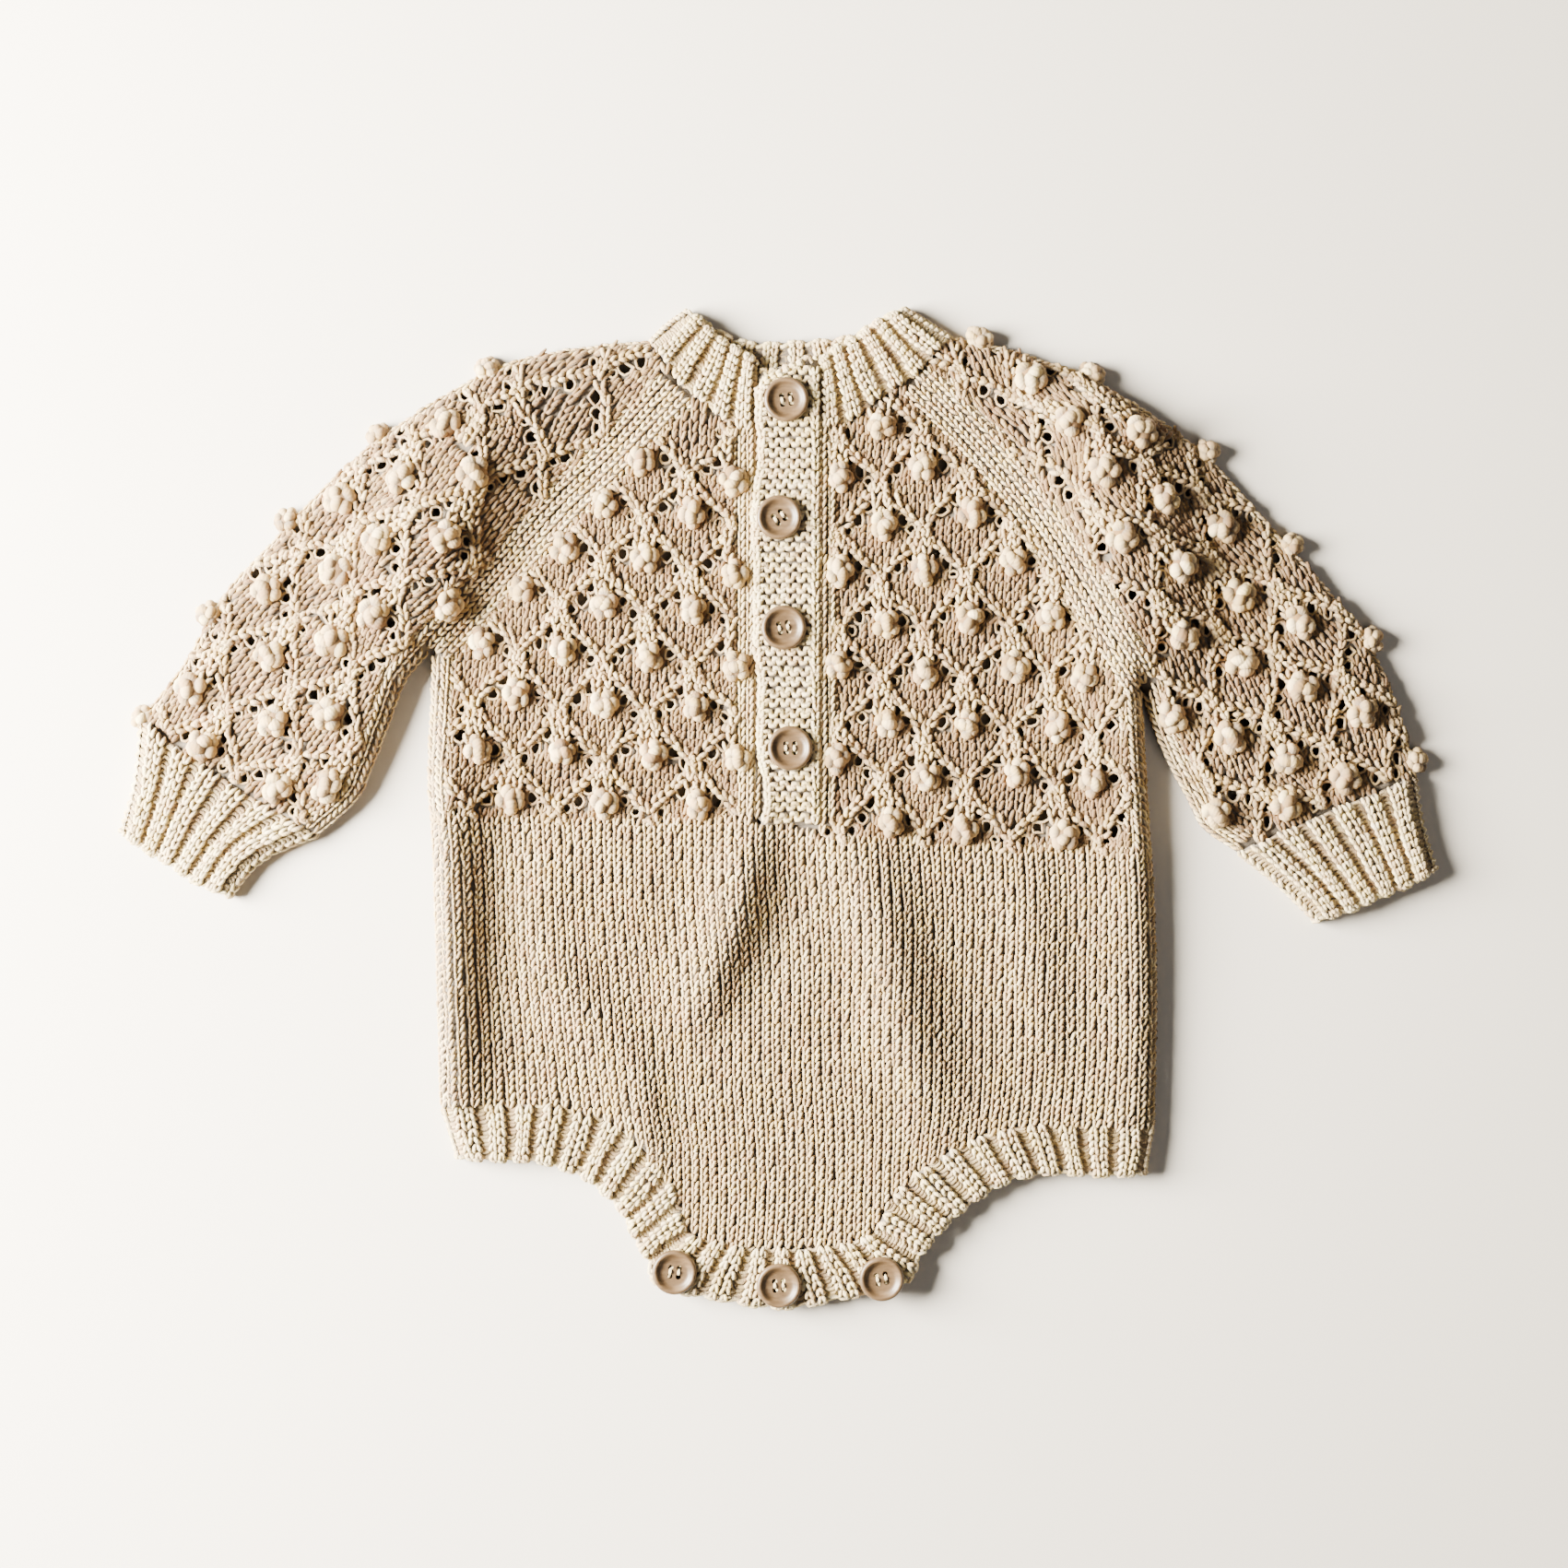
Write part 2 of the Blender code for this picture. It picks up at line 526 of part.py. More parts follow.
def make_sleeve(side):
    """A sleeve: a tube laid flat, open along the raglan and neck seam and at the cuff."""
    folds, opens = sleeve_edges(side)
    outline = joined(folds[0], opens[0], folds[1], opens[1])
    humps = np.vstack([bobble_columns(SLEEVE_BOBBLES[side]), EDGE_BOBBLES[side]])

    def off_folds(points):
        return np.minimum(distance(points, folds[0]), distance(points, folds[1]))

    def top(points):
        off_opens = np.minimum(distance(points, opens[0]), distance(points, opens[1]))
        along, across = np.clip(off_opens / PUFF_REACH, 0, 1), np.clip(off_folds(points) / PUFF_FADE, 0, 1)
        full = FRONT_TOP + SLEEVE_PUFF * along**2 * (3 - 2 * along) * across
        return MIDDLE + (full - MIDDLE) * rounded(off_folds(points), SIDE_ROUND)

    def outside(points):
        return top(points) + dome(points, humps) * np.clip(off_folds(points) / 1.5, 0, 1)

    def underside(points):
        return MIDDLE * (1 - rounded(off_folds(points), UNDER_ROUND))

    rings = [beside(curve(fold[::2], 8.0), off) for fold in folds for off in (1.3, 3.4, SIDE_ROUND)]
    upper = spread(outline, [(np.concatenate(rings), 1.7), grid_group(outline, SLEEVE_GRID)], humps)
    rings = [beside(curve(fold[::2], 10.0), off) for fold in folds for off in (1.1, UNDER_ROUND)]
    lower = spread(outline, [(np.concatenate(rings), 1.1), grid_group(outline, SLEEVE_BACK_GRID)])
    outer = bag(folds, opens, upper, lower, outside, underside, humps)

    inner_opens = [squeezed(line, WALL) for line in opens]
    inner_folds = []
    for i, name in enumerate(("top", "under") if side == "left" else ("under", "top")):
        plain = curve(SEAMS[f"{side}_sleeve_{name}"], 9.0)
        line = beside(plain if side == "left" else plain[::-1], WALL)[1:-1]
        inner_folds.append(np.vstack([inner_opens[i - 1][-1], line, inner_opens[i][0]]))
    room = joined(inner_folds[0], inner_opens[0], inner_folds[1], inner_opens[1])
    plain_points = spread(room, [grid_group(room, SLEEVE_INNER_GRID)])
    inner = bag(
        inner_folds, inner_opens, plain_points, plain_points,
        lambda p: top(p) - WALL, lambda p: np.full(len(p), WALL),
    )
    shift = len(outer[0])
    faces = outer[1] + [[v + shift for v in face] for face in inner[1]]
    for outer_end, inner_end in zip(outer[2], inner[2]):
        for line, within in zip(outer_end, inner_end):
            for i in range(len(line) - 1):
                faces.append([line[i], line[i + 1], within[i + 1] + shift, within[i] + shift])
    return new_object(f"sleeve_{side}", np.vstack([outer[0], inner[0]]), faces, yarn)


def band_lines(name):
    """The joined edge of a band's layer and its free edge, as fine lines."""
    seams, free = BANDS[name]
    runs = [curve(SEAMS[seam], 1.0)[::way] for seam, way in seams]
    return np.concatenate([*(run[:-1] for run in runs[:-1]), runs[-1]]), curve(free, 1.0)


def at_length(line, places):
    own = lengths(line)
    return np.column_stack([np.interp(places, own, line[:, column]) for column in (0, 1)])


def stations(lines, ribs, trims):
    """Join point, free point and rib rise at each place worked out along a band between its trims."""
    if ribs:
        phases = [(k + part) / ribs for k in range(ribs) for part in (0.14, 0.3, 0.7, 0.86)]
        rise = [0.0, 1.0, 1.0, 0.0] * ribs
    else:
        count = max(2, round(max(lengths(line)[-1] for line in lines) / PLAIN_STEP))
        phases, rise = list(np.arange(1, count) / count), [0.0] * (count - 1)
    at = np.array([0.0, *phases, 1.0])
    found = [at_length(line, trims[0] + at * (lengths(line)[-1] - sum(trims))) for line in lines]
    return found[0], found[1], np.array([0.0, *rise, 0.0])


def section(join, free, outer, inner):
    """The five corners of a band's wall: joined edge square, free edge rounded."""
    way = (free - join) / np.linalg.norm(free - join)
    join = join + way * BAND_GAP
    near = free - way * EDGE_ROUND
    return [(*join, outer), (*near, outer), (*free, (outer + inner) / 2), (*near, inner), (*join, inner)]


def layer(name, ribs, heights, trims, lift=None):
    """One layer of a band as rings of five corners; heights are its outer and inner surface."""
    joins, frees, rise = stations(band_lines(name), ribs, trims)
    found = []
    for join, free, up in zip(joins, frees, rise):
        extra = 0.0 if lift is None else float(lift((join + free) / 2)[0])
        found.append(section(join, free, heights[0] + extra + up * RIB_RISE, heights[1] + extra))
    return found


def fold(name, at_start=False, steps=5):
    """The fold at a band's end: its wall goes round in a half circle about the middle height."""
    lines = band_lines(name)
    outer, inner = MIDDLE, LAYER_GAP / 2
    found = []
    for angle in np.linspace(math.pi / 2, -math.pi / 2, steps):
        ring = []
        for k, radius in enumerate((outer, outer, (outer + inner) / 2, inner, inner)):
            off = MIDDLE - radius * math.cos(angle)
            join, free = (at_length(line, off if at_start else lengths(line)[-1] - off)[0] for line in lines)
            flat = section(join, free, 0, 0)[k]
            ring.append((flat[0], flat[1], MIDDLE + radius * math.sin(angle)))
        found.append(ring)
    return found


def loft(name, rings, finish, cyclic=False):
    """Quads between rings of five corners, with an end face at each end unless it closes on itself."""
    count = len(rings[0])
    points = np.array(rings, float).reshape(-1, 3)
    faces = []
    for i in range(len(rings) if cyclic else len(rings) - 1):
        here, there = i * count, (i + 1) % len(rings) * count
        for k in range(count):
            beyond = (k + 1) % count
            faces.append([here + k, here + beyond, there + beyond, there + k])
    if not cyclic:
        faces += [list(range(count)), [(len(rings) - 1) * count + k for k in range(count)]]
    return new_object(name, points, faces, finish)


def make_bands():
    seam, turn = SEAM_GAP / 2, MIDDLE
    front, back = (FRONT_TOP, FRONT_INSIDE), (0.0, WALL)
    for side in ("left", "right"):
        leg, cuff = f"leg_{side}", f"cuff_{side}"
        upper, lower = layer(leg, LEG_RIBS, front, (seam, turn)), layer(leg, 0, back, (seam, turn))
        loft(f"leg_band_{side}", upper[:-1] + fold(leg) + lower[::-1][1:], band)
        upper, lower = layer(cuff, CUFF_RIBS, front, (turn, turn)), layer(cuff, 0, back, (turn, turn))
        near = fold(cuff, at_start=True)[::-1]
        loft(cuff, upper[1:-1] + fold(cuff) + lower[::-1][1:-1] + near, band, cyclic=True)
    right = layer("neck_right", NECK_RIBS[1], front, (seam, turn))
    left = layer("neck_left", NECK_RIBS[0], front, (seam, turn))
    behind = layer("neck_back", 0, back, (turn, turn))
    rings = right[:-1] + fold("neck_right") + behind[::-1][1:-1] + fold("neck_left")[::-1] + left[::-1][1:]
    loft("neckband", rings, band)
    loft("crotch_band_front", layer("crotch", CROTCH_RIBS, front, (seam, seam), lift=fold_rise), band)
    loft("crotch_band_back", layer("crotch", 0, back, (seam, seam)), band)


def strip_outline(x_low, x_high, y_low, y_high, corner, step):
    """A long strip with its upper left corner rounded, with points every step down its sides."""
    down = np.arange(y_high - corner, y_low, -step)
    left = [(x_low, y) for y in down] + [(x_low, y_low)]
    right = [(x_high, y_low)] + [(x_high, y) for y in down[::-1]] + [(x_high, y_high)]
    arc = [(x_low + corner * (1 - math.sin(a)), y_high - corner * (1 - math.cos(a)))
           for a in np.linspace(0, math.pi / 2, 5)][:-1]
    return np.array(left + right + arc)


def placket_under(points):
    return front_top(points) + PLACKET_LIFT + SEAM_GAP / 2


def placket_top(points):
    return placket_under(points) + PLACKET_WALL


def make_plackets():
    """The buttonhole band lies on the button band, which fills the slot in the front."""
    low, high = PLACKET_X
    room = SEAM_GAP / 2
    under = strip_outline(low + room, high - room, PLACKET_FOOT + room, PLACKET_HEAD, 1.0, PLACKET_UNDER_STEP)
    wall("placket_under", under, np.empty((0, 2)), np.empty((0, 2)), front_top, front_under, band)
    outline = strip_outline(
        low, high + PLACKET_LAP, PLACKET_FOOT - PLACKET_FOOT_LAP, PLACKET_HEAD + PLACKET_HEAD_LAP,
        PLACKET_CORNER, PLACKET_STEP,
    )
    middle = spread(outline, [grid_group(outline, PLACKET_STEP)])

    def outer(points):
        closed = np.vstack([outline, outline[:1]])
        full = np.clip(distance(points, closed) / PLACKET_EDGE_REACH, 0, 1)
        return placket_under(points) + PLACKET_WALL * (PLACKET_EDGE + (1 - PLACKET_EDGE) * full)

    wall("placket", outline, middle, middle, outer, placket_under, band)


def make_button_mesh():
    """A turned dish with a rounded rim, and four sewing holes."""
    profile = [
        (0 if off is None else (BUTTON_RADIUS - off) * MM, 0, share * BUTTON_THICK * MM)
        for off, share in BUTTON_PROFILE
    ]
    mesh = bpy.data.meshes.new("button_profile")
    mesh.from_pydata(profile, [(i, i + 1) for i in range(len(profile) - 1)], [])
    turned = bpy.data.objects.new("button_profile", mesh)
    parts.objects.link(turned)
    screw = turned.modifiers.new("Turned", "SCREW")
    screw.steps = screw.render_steps = BUTTON_STEPS
    screw.use_merge_vertices = True
    screw.merge_threshold = 0.00001
    for i, (across, up) in enumerate(((0.5, 0.5), (-0.5, 0.5), (-0.5, -0.5), (0.5, -0.5))):
        bpy.ops.mesh.primitive_cylinder_add(
            vertices=6, radius=BUTTON_HOLE * MM, depth=2 * BUTTON_THICK * MM,
            location=(across * BUTTON_HOLE_PITCH * MM, up * BUTTON_HOLE_PITCH * MM, 0.3 * BUTTON_THICK * MM),
        )
        drill = bpy.context.object
        drill.name = f"button_drill_{i + 1}"
        for home in list(drill.users_collection):
            home.objects.unlink(drill)
        cutters.objects.link(drill)
        drill.hide_render = True
        drill.display_type = "WIRE"
        cut = turned.modifiers.new(f"Hole {i + 1}", "BOOLEAN")
        cut.object = drill
        cut.solver = "EXACT"
    bpy.context.view_layer.update()
    drilled = bpy.data.meshes.new_from_object(turned.evaluated_get(bpy.context.evaluated_depsgraph_get()))
    bpy.data.objects.remove(turned)
    drilled.name = "button"
    drilled.materials.clear()
    drilled.materials.append(button_finish)
    drilled.shade_smooth()
    drilled.set_sharp_from_angle(angle=math.radians(40))
    return drilled


def crotch_top(points):
    return FRONT_TOP + RIB_RISE + fold_rise(points)


def make_buttons():
    """Each button lies level, just over the highest cloth under it."""
    mesh = make_button_mesh()
    angle = np.linspace(0, 2 * math.pi, BUTTON_STEPS)
    ring = BUTTON_RADIUS * np.stack([np.cos(angle), np.sin(angle)], axis=1)
    rows = ("button", FRONT_BUTTONS, placket_top), ("crotch_button", CROTCH_BUTTONS, crotch_top)
    for name, places, top in rows:
        for i, (x, y) in enumerate(places):
            made = bpy.data.objects.new(f"{name}_{i + 1}", mesh)
            made.location = Vector((x, y, top(ring + (x, y)).max() + PLACKET_LIFT)) * MM
            parts.objects.link(made)


for old in list(bpy.data.objects):
    bpy.data.objects.remove(old)
parts = bpy.data.collections.new("baby_romper")
cutters = bpy.data.collections.new("cutters")
bpy.context.scene.collection.children.link(parts)
bpy.context.scene.collection.children.link(cutters)
yarn = material("cotton_knit", YARN_COLOUR, 0.9)
band = material("cotton_rib", BAND_COLOUR, 0.9)
button_finish = material("button_corozo", BUTTON_COLOUR, 0.45)

make_front()
make_back()
make_sleeve("left")
make_sleeve("right")
make_bands()
make_plackets()
make_buttons()
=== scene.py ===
import math
import bmesh
import bpy
import numpy as np
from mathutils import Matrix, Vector
from mathutils.geometry import delaunay_2d_cdt


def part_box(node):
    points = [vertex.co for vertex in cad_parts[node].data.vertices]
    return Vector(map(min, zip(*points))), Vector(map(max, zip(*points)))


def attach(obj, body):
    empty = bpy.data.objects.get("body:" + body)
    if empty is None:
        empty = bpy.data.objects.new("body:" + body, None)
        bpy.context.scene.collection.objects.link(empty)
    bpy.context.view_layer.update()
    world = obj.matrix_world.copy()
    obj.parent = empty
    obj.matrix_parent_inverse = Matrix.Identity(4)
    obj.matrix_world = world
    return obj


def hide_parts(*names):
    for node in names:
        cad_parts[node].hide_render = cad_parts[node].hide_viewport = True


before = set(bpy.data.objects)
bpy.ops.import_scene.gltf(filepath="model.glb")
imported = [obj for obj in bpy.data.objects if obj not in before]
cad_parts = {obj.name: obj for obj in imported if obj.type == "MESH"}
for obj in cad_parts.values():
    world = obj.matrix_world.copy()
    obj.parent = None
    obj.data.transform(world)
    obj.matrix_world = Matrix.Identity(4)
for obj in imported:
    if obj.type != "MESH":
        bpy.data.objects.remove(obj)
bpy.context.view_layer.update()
dice = np.random.default_rng(11)
mm = 0.001  # lengths are in millimetres until a mesh is made

cloth = {
    "wall": 2.6,  # one layer of knitting
    "layerGap": 1.2,  # between the front and the back
    "seamGap": 0.34,  # between pieces that are sewn together
    "sideRound": 7.0,  # how far in from a fold the cloth curves: body, sleeve and underside
    "sleeveRound": 11.0,
    "underRound": 3.6,
    "sleevePuff": 3.0,  # how much a sleeve stands up, from how far in from its ends and its folds
    "puffReach": 42.0,
    "puffFade": 34.0,
    "shell": 1.1,  # thickness of the backing that the stitches stand on
    "bury": 1.2,  # backing below the highest stitches
    "backShell": 1.9,
    "backBury": 0.85,
    "gridStep": 4.2,  # between the points of a panel
    "gridRings": (0.9, 2.2, 4.2, 7.0),  # rows of points in from a fold
}
middle = cloth["wall"] + cloth["layerGap"] / 2  # height of the side folds
frontTop = 2 * cloth["wall"] + cloth["layerGap"]


def colour(text):  # an sRGB hex as linear red, green, blue and alpha
    parts = [int(text[i : i + 2], 16) / 255 for i in (1, 3, 5)]
    return (*[c / 12.92 if c <= 0.04045 else ((c + 0.055) / 1.055) ** 2.4 for c in parts], 1.0)


def node(tree, kind, settings=None, inputs=None):  # "stops" are the places and colours of a ramp
    made = tree.nodes.new(kind)
    for key, value in (settings or {}).items():
        if key == "stops":
            while len(made.color_ramp.elements) < len(value):
                made.color_ramp.elements.new(0.5)
            for element, (place, shade) in zip(made.color_ramp.elements, value):
                element.position, element.color = place, colour(shade)
        else:
            setattr(made, key, value)
    for key, value in (inputs or {}).items():
        if isinstance(value, bpy.types.NodeSocket):
            tree.links.new(value, made.inputs[key])
        else:
            made.inputs[key].default_value = value
    return made


def newMaterial(name):
    made = bpy.data.materials.new(name)
    made.use_nodes = True
    return made, made.node_tree, made.node_tree.nodes["Principled BSDF"]


cottonLook = {
    "patch": (16.667, 2.0),  # size in mm and detail of the clouds of tone, and of warmer and cooler spots
    "blush": (6.667, 1.0),
    "fibre": (0.4167, 2.0),  # real hairs are about 0.02 mm, so these are far coarser, to show
    "tints": [(0.36, "#fff8da"), (0.5, "#ffffff"), (0.68, "#fff0e8")],
    "ply": 0.87,  # mm from one ply to the next along a strand
    "shadedFlank": "#6c6359",  # painted shade down the sides of a strand, standing in for the shade of its own roundness
}


# plied cotton, hand-knitted: matt and soft, with painted shade down the flanks of each strand, and slanting
# plies
# mix nodes take their colours at sockets 6 and 7 and give one at 2; yarn holds run along, place around, tone
def cottonMaterial(name, deep, mid, light, twist):
    made, tree, shader = newMaterial(name)
    yarnData = node(tree, "ShaderNodeAttribute", {"attribute_name": "yarn"})
    parts = node(tree, "ShaderNodeSeparateXYZ", inputs={"Vector": yarnData.outputs["Vector"]})
    spot = node(tree, "ShaderNodeTexCoord").outputs["Object"]
    patch, blush, fibre = (
        node(tree, "ShaderNodeTexNoise", inputs={"Vector": spot, "Scale": 1 / (size * mm), "Detail": detail})
        for size, detail in (cottonLook["patch"], cottonLook["blush"], cottonLook["fibre"]))
    tone = node(tree, "ShaderNodeMath", {"operation": "MULTIPLY_ADD"},
                {0: patch.outputs["Fac"], 1: 0.3, 2: parts.outputs["Z"]})
    body = node(tree, "ShaderNodeValToRGB", {"stops": [(0.2, deep), (0.55, mid), (0.9, light)]},
                {"Fac": tone.outputs["Value"]})
    tint = node(tree, "ShaderNodeValToRGB", {"stops": cottonLook["tints"]}, {"Fac": blush.outputs["Fac"]})
    tinted = node(tree, "ShaderNodeMix", {"data_type": "RGBA", "blend_type": "MULTIPLY"},
                  {0: 0.8, 6: body.outputs["Color"], 7: tint.outputs["Color"]})
    offMiddle = node(tree, "ShaderNodeMath", {"operation": "SUBTRACT"}, {0: parts.outputs["Y"], 1: 0.5})
    shadedFlank = node(tree, "ShaderNodeMath", {"operation": "ABSOLUTE"}, {0: offMiddle.outputs["Value"]})
    # painted shade: the farther from a strand's middle, the more of the flank colour, up to 0.8
    depth = node(tree, "ShaderNodeMapRange", {"interpolation_type": "SMOOTHSTEP"},
                 {"Value": shadedFlank.outputs["Value"], "From Min": 0.06, "From Max": 0.5, "To Max": 0.8})
    shaded = node(tree, "ShaderNodeMix", {"data_type": "RGBA"},
                  {0: depth.outputs["Result"], 6: tinted.outputs[2], 7: colour(cottonLook["shadedFlank"])})
    turn = node(tree, "ShaderNodeMath", {"operation": "MULTIPLY_ADD"},
                {0: parts.outputs["X"], 1: 1 / cottonLook["ply"], 2: parts.outputs["Y"]})
    ply = node(tree, "ShaderNodeMath", {"operation": "PINGPONG"}, {0: turn.outputs["Value"], 1: 0.5})
    height = node(tree, "ShaderNodeMath", {"operation": "MULTIPLY_ADD"},
                  {0: ply.outputs["Value"], 1: twist, 2: fibre.outputs["Fac"]})
    bump = node(tree, "ShaderNodeBump",
                inputs={"Height": height.outputs["Value"], "Strength": 0.5, "Distance": 0.4 * mm})
    tree.links.new(shaded.outputs[2], shader.inputs["Base Color"])
    tree.links.new(bump.outputs["Normal"], shader.inputs["Normal"])
    shader.inputs["Roughness"].default_value = 0.88
    shader.inputs["Specular IOR Level"].default_value = 0.25
    shader.inputs["Sheen Weight"].default_value = 0.12
    shader.inputs["Sheen Roughness"].default_value = 0.6
    shader.inputs["Sheen Tint"].default_value = colour("#fff3e0")
    return made


corozoLook = {
    "stops": [(0.3, "#463521"), (0.55, "#56432d"), (0.8, "#66523a")],
    # painted shade: near black on the walls of the sewing holes
    "bored": "#1c130b",
    "grain": 3.846,  # mm between growth lines, drawn out along the button, and between fine marks
    "marks": 0.6667,
}


def corozoMaterial():  # corozo nut, turned and drilled: tan, faint growth lines, a satin face, and painted shade on the walls of its holes
    made, tree, shader = newMaterial("corozoNut")
    spot = node(tree, "ShaderNodeTexCoord").outputs["Object"]
    stretch = node(tree, "ShaderNodeMapping", inputs={"Vector": spot, "Scale": (1.0, 3.2, 1.0)})
    grain = node(tree, "ShaderNodeTexNoise", inputs={"Vector": stretch.outputs["Vector"], "Detail": 5.0,
                                                     "Scale": 1 / (corozoLook["grain"] * mm)})
    turned = node(tree, "ShaderNodeValToRGB", {"stops": corozoLook["stops"]}, {"Fac": grain.outputs["Fac"]})
    # where the painted shade of the holes goes
    bored = node(tree, "ShaderNodeAttribute", {"attribute_name": "bored"})
    both = node(tree, "ShaderNodeMix", {"data_type": "RGBA"},
                {0: bored.outputs["Fac"], 6: turned.outputs["Color"], 7: colour(corozoLook["bored"])})
    marks = node(tree, "ShaderNodeTexNoise",
                 inputs={"Vector": spot, "Scale": 1 / (corozoLook["marks"] * mm), "Detail": 2.0})
    bump = node(tree, "ShaderNodeBump",
                inputs={"Height": marks.outputs["Fac"], "Strength": 0.15, "Distance": 0.2 * mm})
    tree.links.new(both.outputs[2], shader.inputs["Base Color"])
    tree.links.new(bump.outputs["Normal"], shader.inputs["Normal"])
    shader.inputs["Roughness"].default_value = 0.42
    return made


def plainMaterial(name, shade, roughness):
    made, _, shader = newMaterial(name)
    shader.inputs["Base Color"].default_value = colour(shade)
    shader.inputs["Roughness"].default_value = roughness
    return made


# cream strands, their lowest tones a deep warm brown that serves as painted shade in the hollows; and the
# same yarn painted paler for the bands, as painted light on the ribs
cottonYarn = cottonMaterial("pliedCotton", "#7a6042", "#b9a077", "#decca0", 0.9)
litRibYarn = cottonMaterial("pliedCottonRibLit", "#8f7a5d", "#beaa82", "#dfd1a7", 0.9)
# painted shade: the backing between loose stitches and between close ribs is coloured dark for the shade
# there; and the lit inside of the back
shadedBacking = cottonMaterial("knittedCottonShade", "#6d665b", "#7b7467", "#8a8374", 0.0)
shadedBandBacking = cottonMaterial("ribbedCottonShade", "#70695e", "#80786b", "#8f8779", 0.0)
innerCloth = cottonMaterial("innerCotton", "#c0a67e", "#d2b88f", "#dfc69d", 0.0)
corozo = corozoMaterial()
sewingThread = plainMaterial("cottonThread", "#c9b793", 0.8)  # spun cotton: cream and dull
paintedBoard = plainMaterial("paintedBoard", "#cbc6be", 0.8)  # a white board, rolled with matt paint
print("materials ready")


def unit(vectors):
    return vectors / np.maximum(np.linalg.norm(vectors, axis=-1, keepdims=True), 1e-9)


def curve(points, step):  # Catmull-Rom through the points
    keys = np.array(points, float)
    ends = [2 * keys[0] - keys[1], *keys, 2 * keys[-1] - keys[-2]]
    found = []
    for i in range(1, len(ends) - 2):
        a, b, c, d = ends[i - 1 : i + 3]
        parts = max(1, math.ceil(np.linalg.norm(c - b) / step))
        for t in np.arange(parts) / parts:
            square, cube = 2 * a - 5 * b + 4 * c - d, 3 * b - a - 3 * c + d
            found.append(0.5 * (2 * b + (c - a) * t + square * t**2 + cube * t**3))
    return np.array([*found, keys[-1]])


seams = {  # as the garment lies, left as seen
    "leftSide": [(-134.6, 62), (-135.4, 40), (-136.4, 9.7), (-134.6, -12), (-133, -62), (-131.5, -117)],
    "leftLeg": [(-131.5, -117), (-111, -115.6), (-90, -116.2), (-69.5, -121), (-57, -129),
                (-49, -136.6), (-42.5, -145.4), (-38.4, -156), (-35.6, -166)],
    "crotch": [(-35.6, -166), (-18, -170.6), (0.6, -172.2), (20, -171.2), (38, -166)],
    "rightLeg": [(38, -166), (41.5, -157.6), (47.5, -149), (56, -141), (69, -132.8), (84, -126.6),
                 (99, -124), (120, -124), (146.6, -124.8)],
    "rightSide": [(146.6, -124.8), (147.4, -80), (146.8, -44), (143.6, 9.7), (141.2, 48)],
    "rightRaglan": [(141.2, 48), (130, 66), (117, 89), (101.4, 114), (78.6, 142), (52.8, 168.6)],
    "rightNeck": [(52.8, 168.6), (40, 160.4), (27, 151.2), (15.4, 147)],
    "leftNeck": [(-8.2, 147), (-16, 149.4), (-25.6, 155.4), (-38.4, 166.2)],
    "leftRaglan": [(-38.4, 166.2), (-63, 140), (-87, 116), (-107, 93), (-123, 75), (-134.6, 62)],
    "backNeck": [(52.8, 168.6), (38, 160.4), (2.6, 156.6), (-25, 160), (-38.4, 166.2)],
    "leftHead": [(-50, 182.8), (-38.4, 166.2)],
    "leftTop": [(-50, 182.8), (-74, 180.4), (-98, 176.4), (-116, 169.4), (-137, 157.4), (-160, 141.4),
                (-181, 122), (-200, 102), (-213, 88.4), (-223, 73), (-233, 55.6), (-241.4, 44.4),
                (-249.6, 36)],
    "leftCuff": [(-249.6, 36), (-232, 22), (-208, 6), (-179.6, -10.4)],
    "leftUnder": [(-179.6, -10.4), (-165, 2.6), (-158.6, 15), (-150.6, 36), (-145, 50), (-134.6, 62)],
    "rightHead": [(67.8, 184), (52.8, 168.6)],
    "rightTop": [(67.8, 184), (84, 181), (106, 174.6), (122, 168.6), (135, 160.6), (149, 152), (165, 140),
                 (180, 125), (196, 106.6), (212, 89), (226, 72.4), (236, 55.4), (242.4, 38), (246.6, 24),
                 (249.4, 12.6)],
    "rightCuff": [(249.4, 12.6), (228, 4), (204, -6), (179.6, -17.4)],
    "rightUnder": [(179.6, -17.4), (166, -8), (160, 3), (152.6, 17), (146, 32), (141.2, 48)],
}


def seam(name, step=3.0, way=1):
    return curve(seams[name], step)[::way]


def lengths(line):
    return np.concatenate([[0], np.cumsum(np.linalg.norm(np.diff(line, axis=0), axis=1))])


def atLength(line, places):
    own = lengths(line)
    return np.stack([np.interp(places, own, line[:, k]) for k in range(line.shape[1])], axis=-1)


def distance(points, line):
    points, line = np.atleast_2d(points), np.asarray(line, float)
    best = np.full(len(points), np.inf)
    for a, b in zip(line[:-1], line[1:]):
        along = np.clip((points - a) @ (b - a) / max((b - a) @ (b - a), 1e-9), 0, 1)
        best = np.minimum(best, np.linalg.norm(points - a - along[:, None] * (b - a), axis=1))
    return best


def nearest(points, spots):  # how far each point is from the closest spot
    return np.linalg.norm(points[:, None] - spots[None], axis=2).min(axis=1)


def inside(points, outline):
    found = np.zeros(len(points), bool)
    for a, b in zip(outline, np.roll(outline, -1, axis=0)):
        crosses = (a[1] > points[:, 1]) != (b[1] > points[:, 1])
        if a[1] != b[1]:
            found ^= crosses & (points[:, 0] < (b[0] - a[0]) * (points[:, 1] - a[1]) / (b[1] - a[1]) + a[0])
    return found


def joined(*lines):
    return np.concatenate([line[:-1] for line in lines])


def closed(outline):
    return np.vstack([outline, outline[:1]])


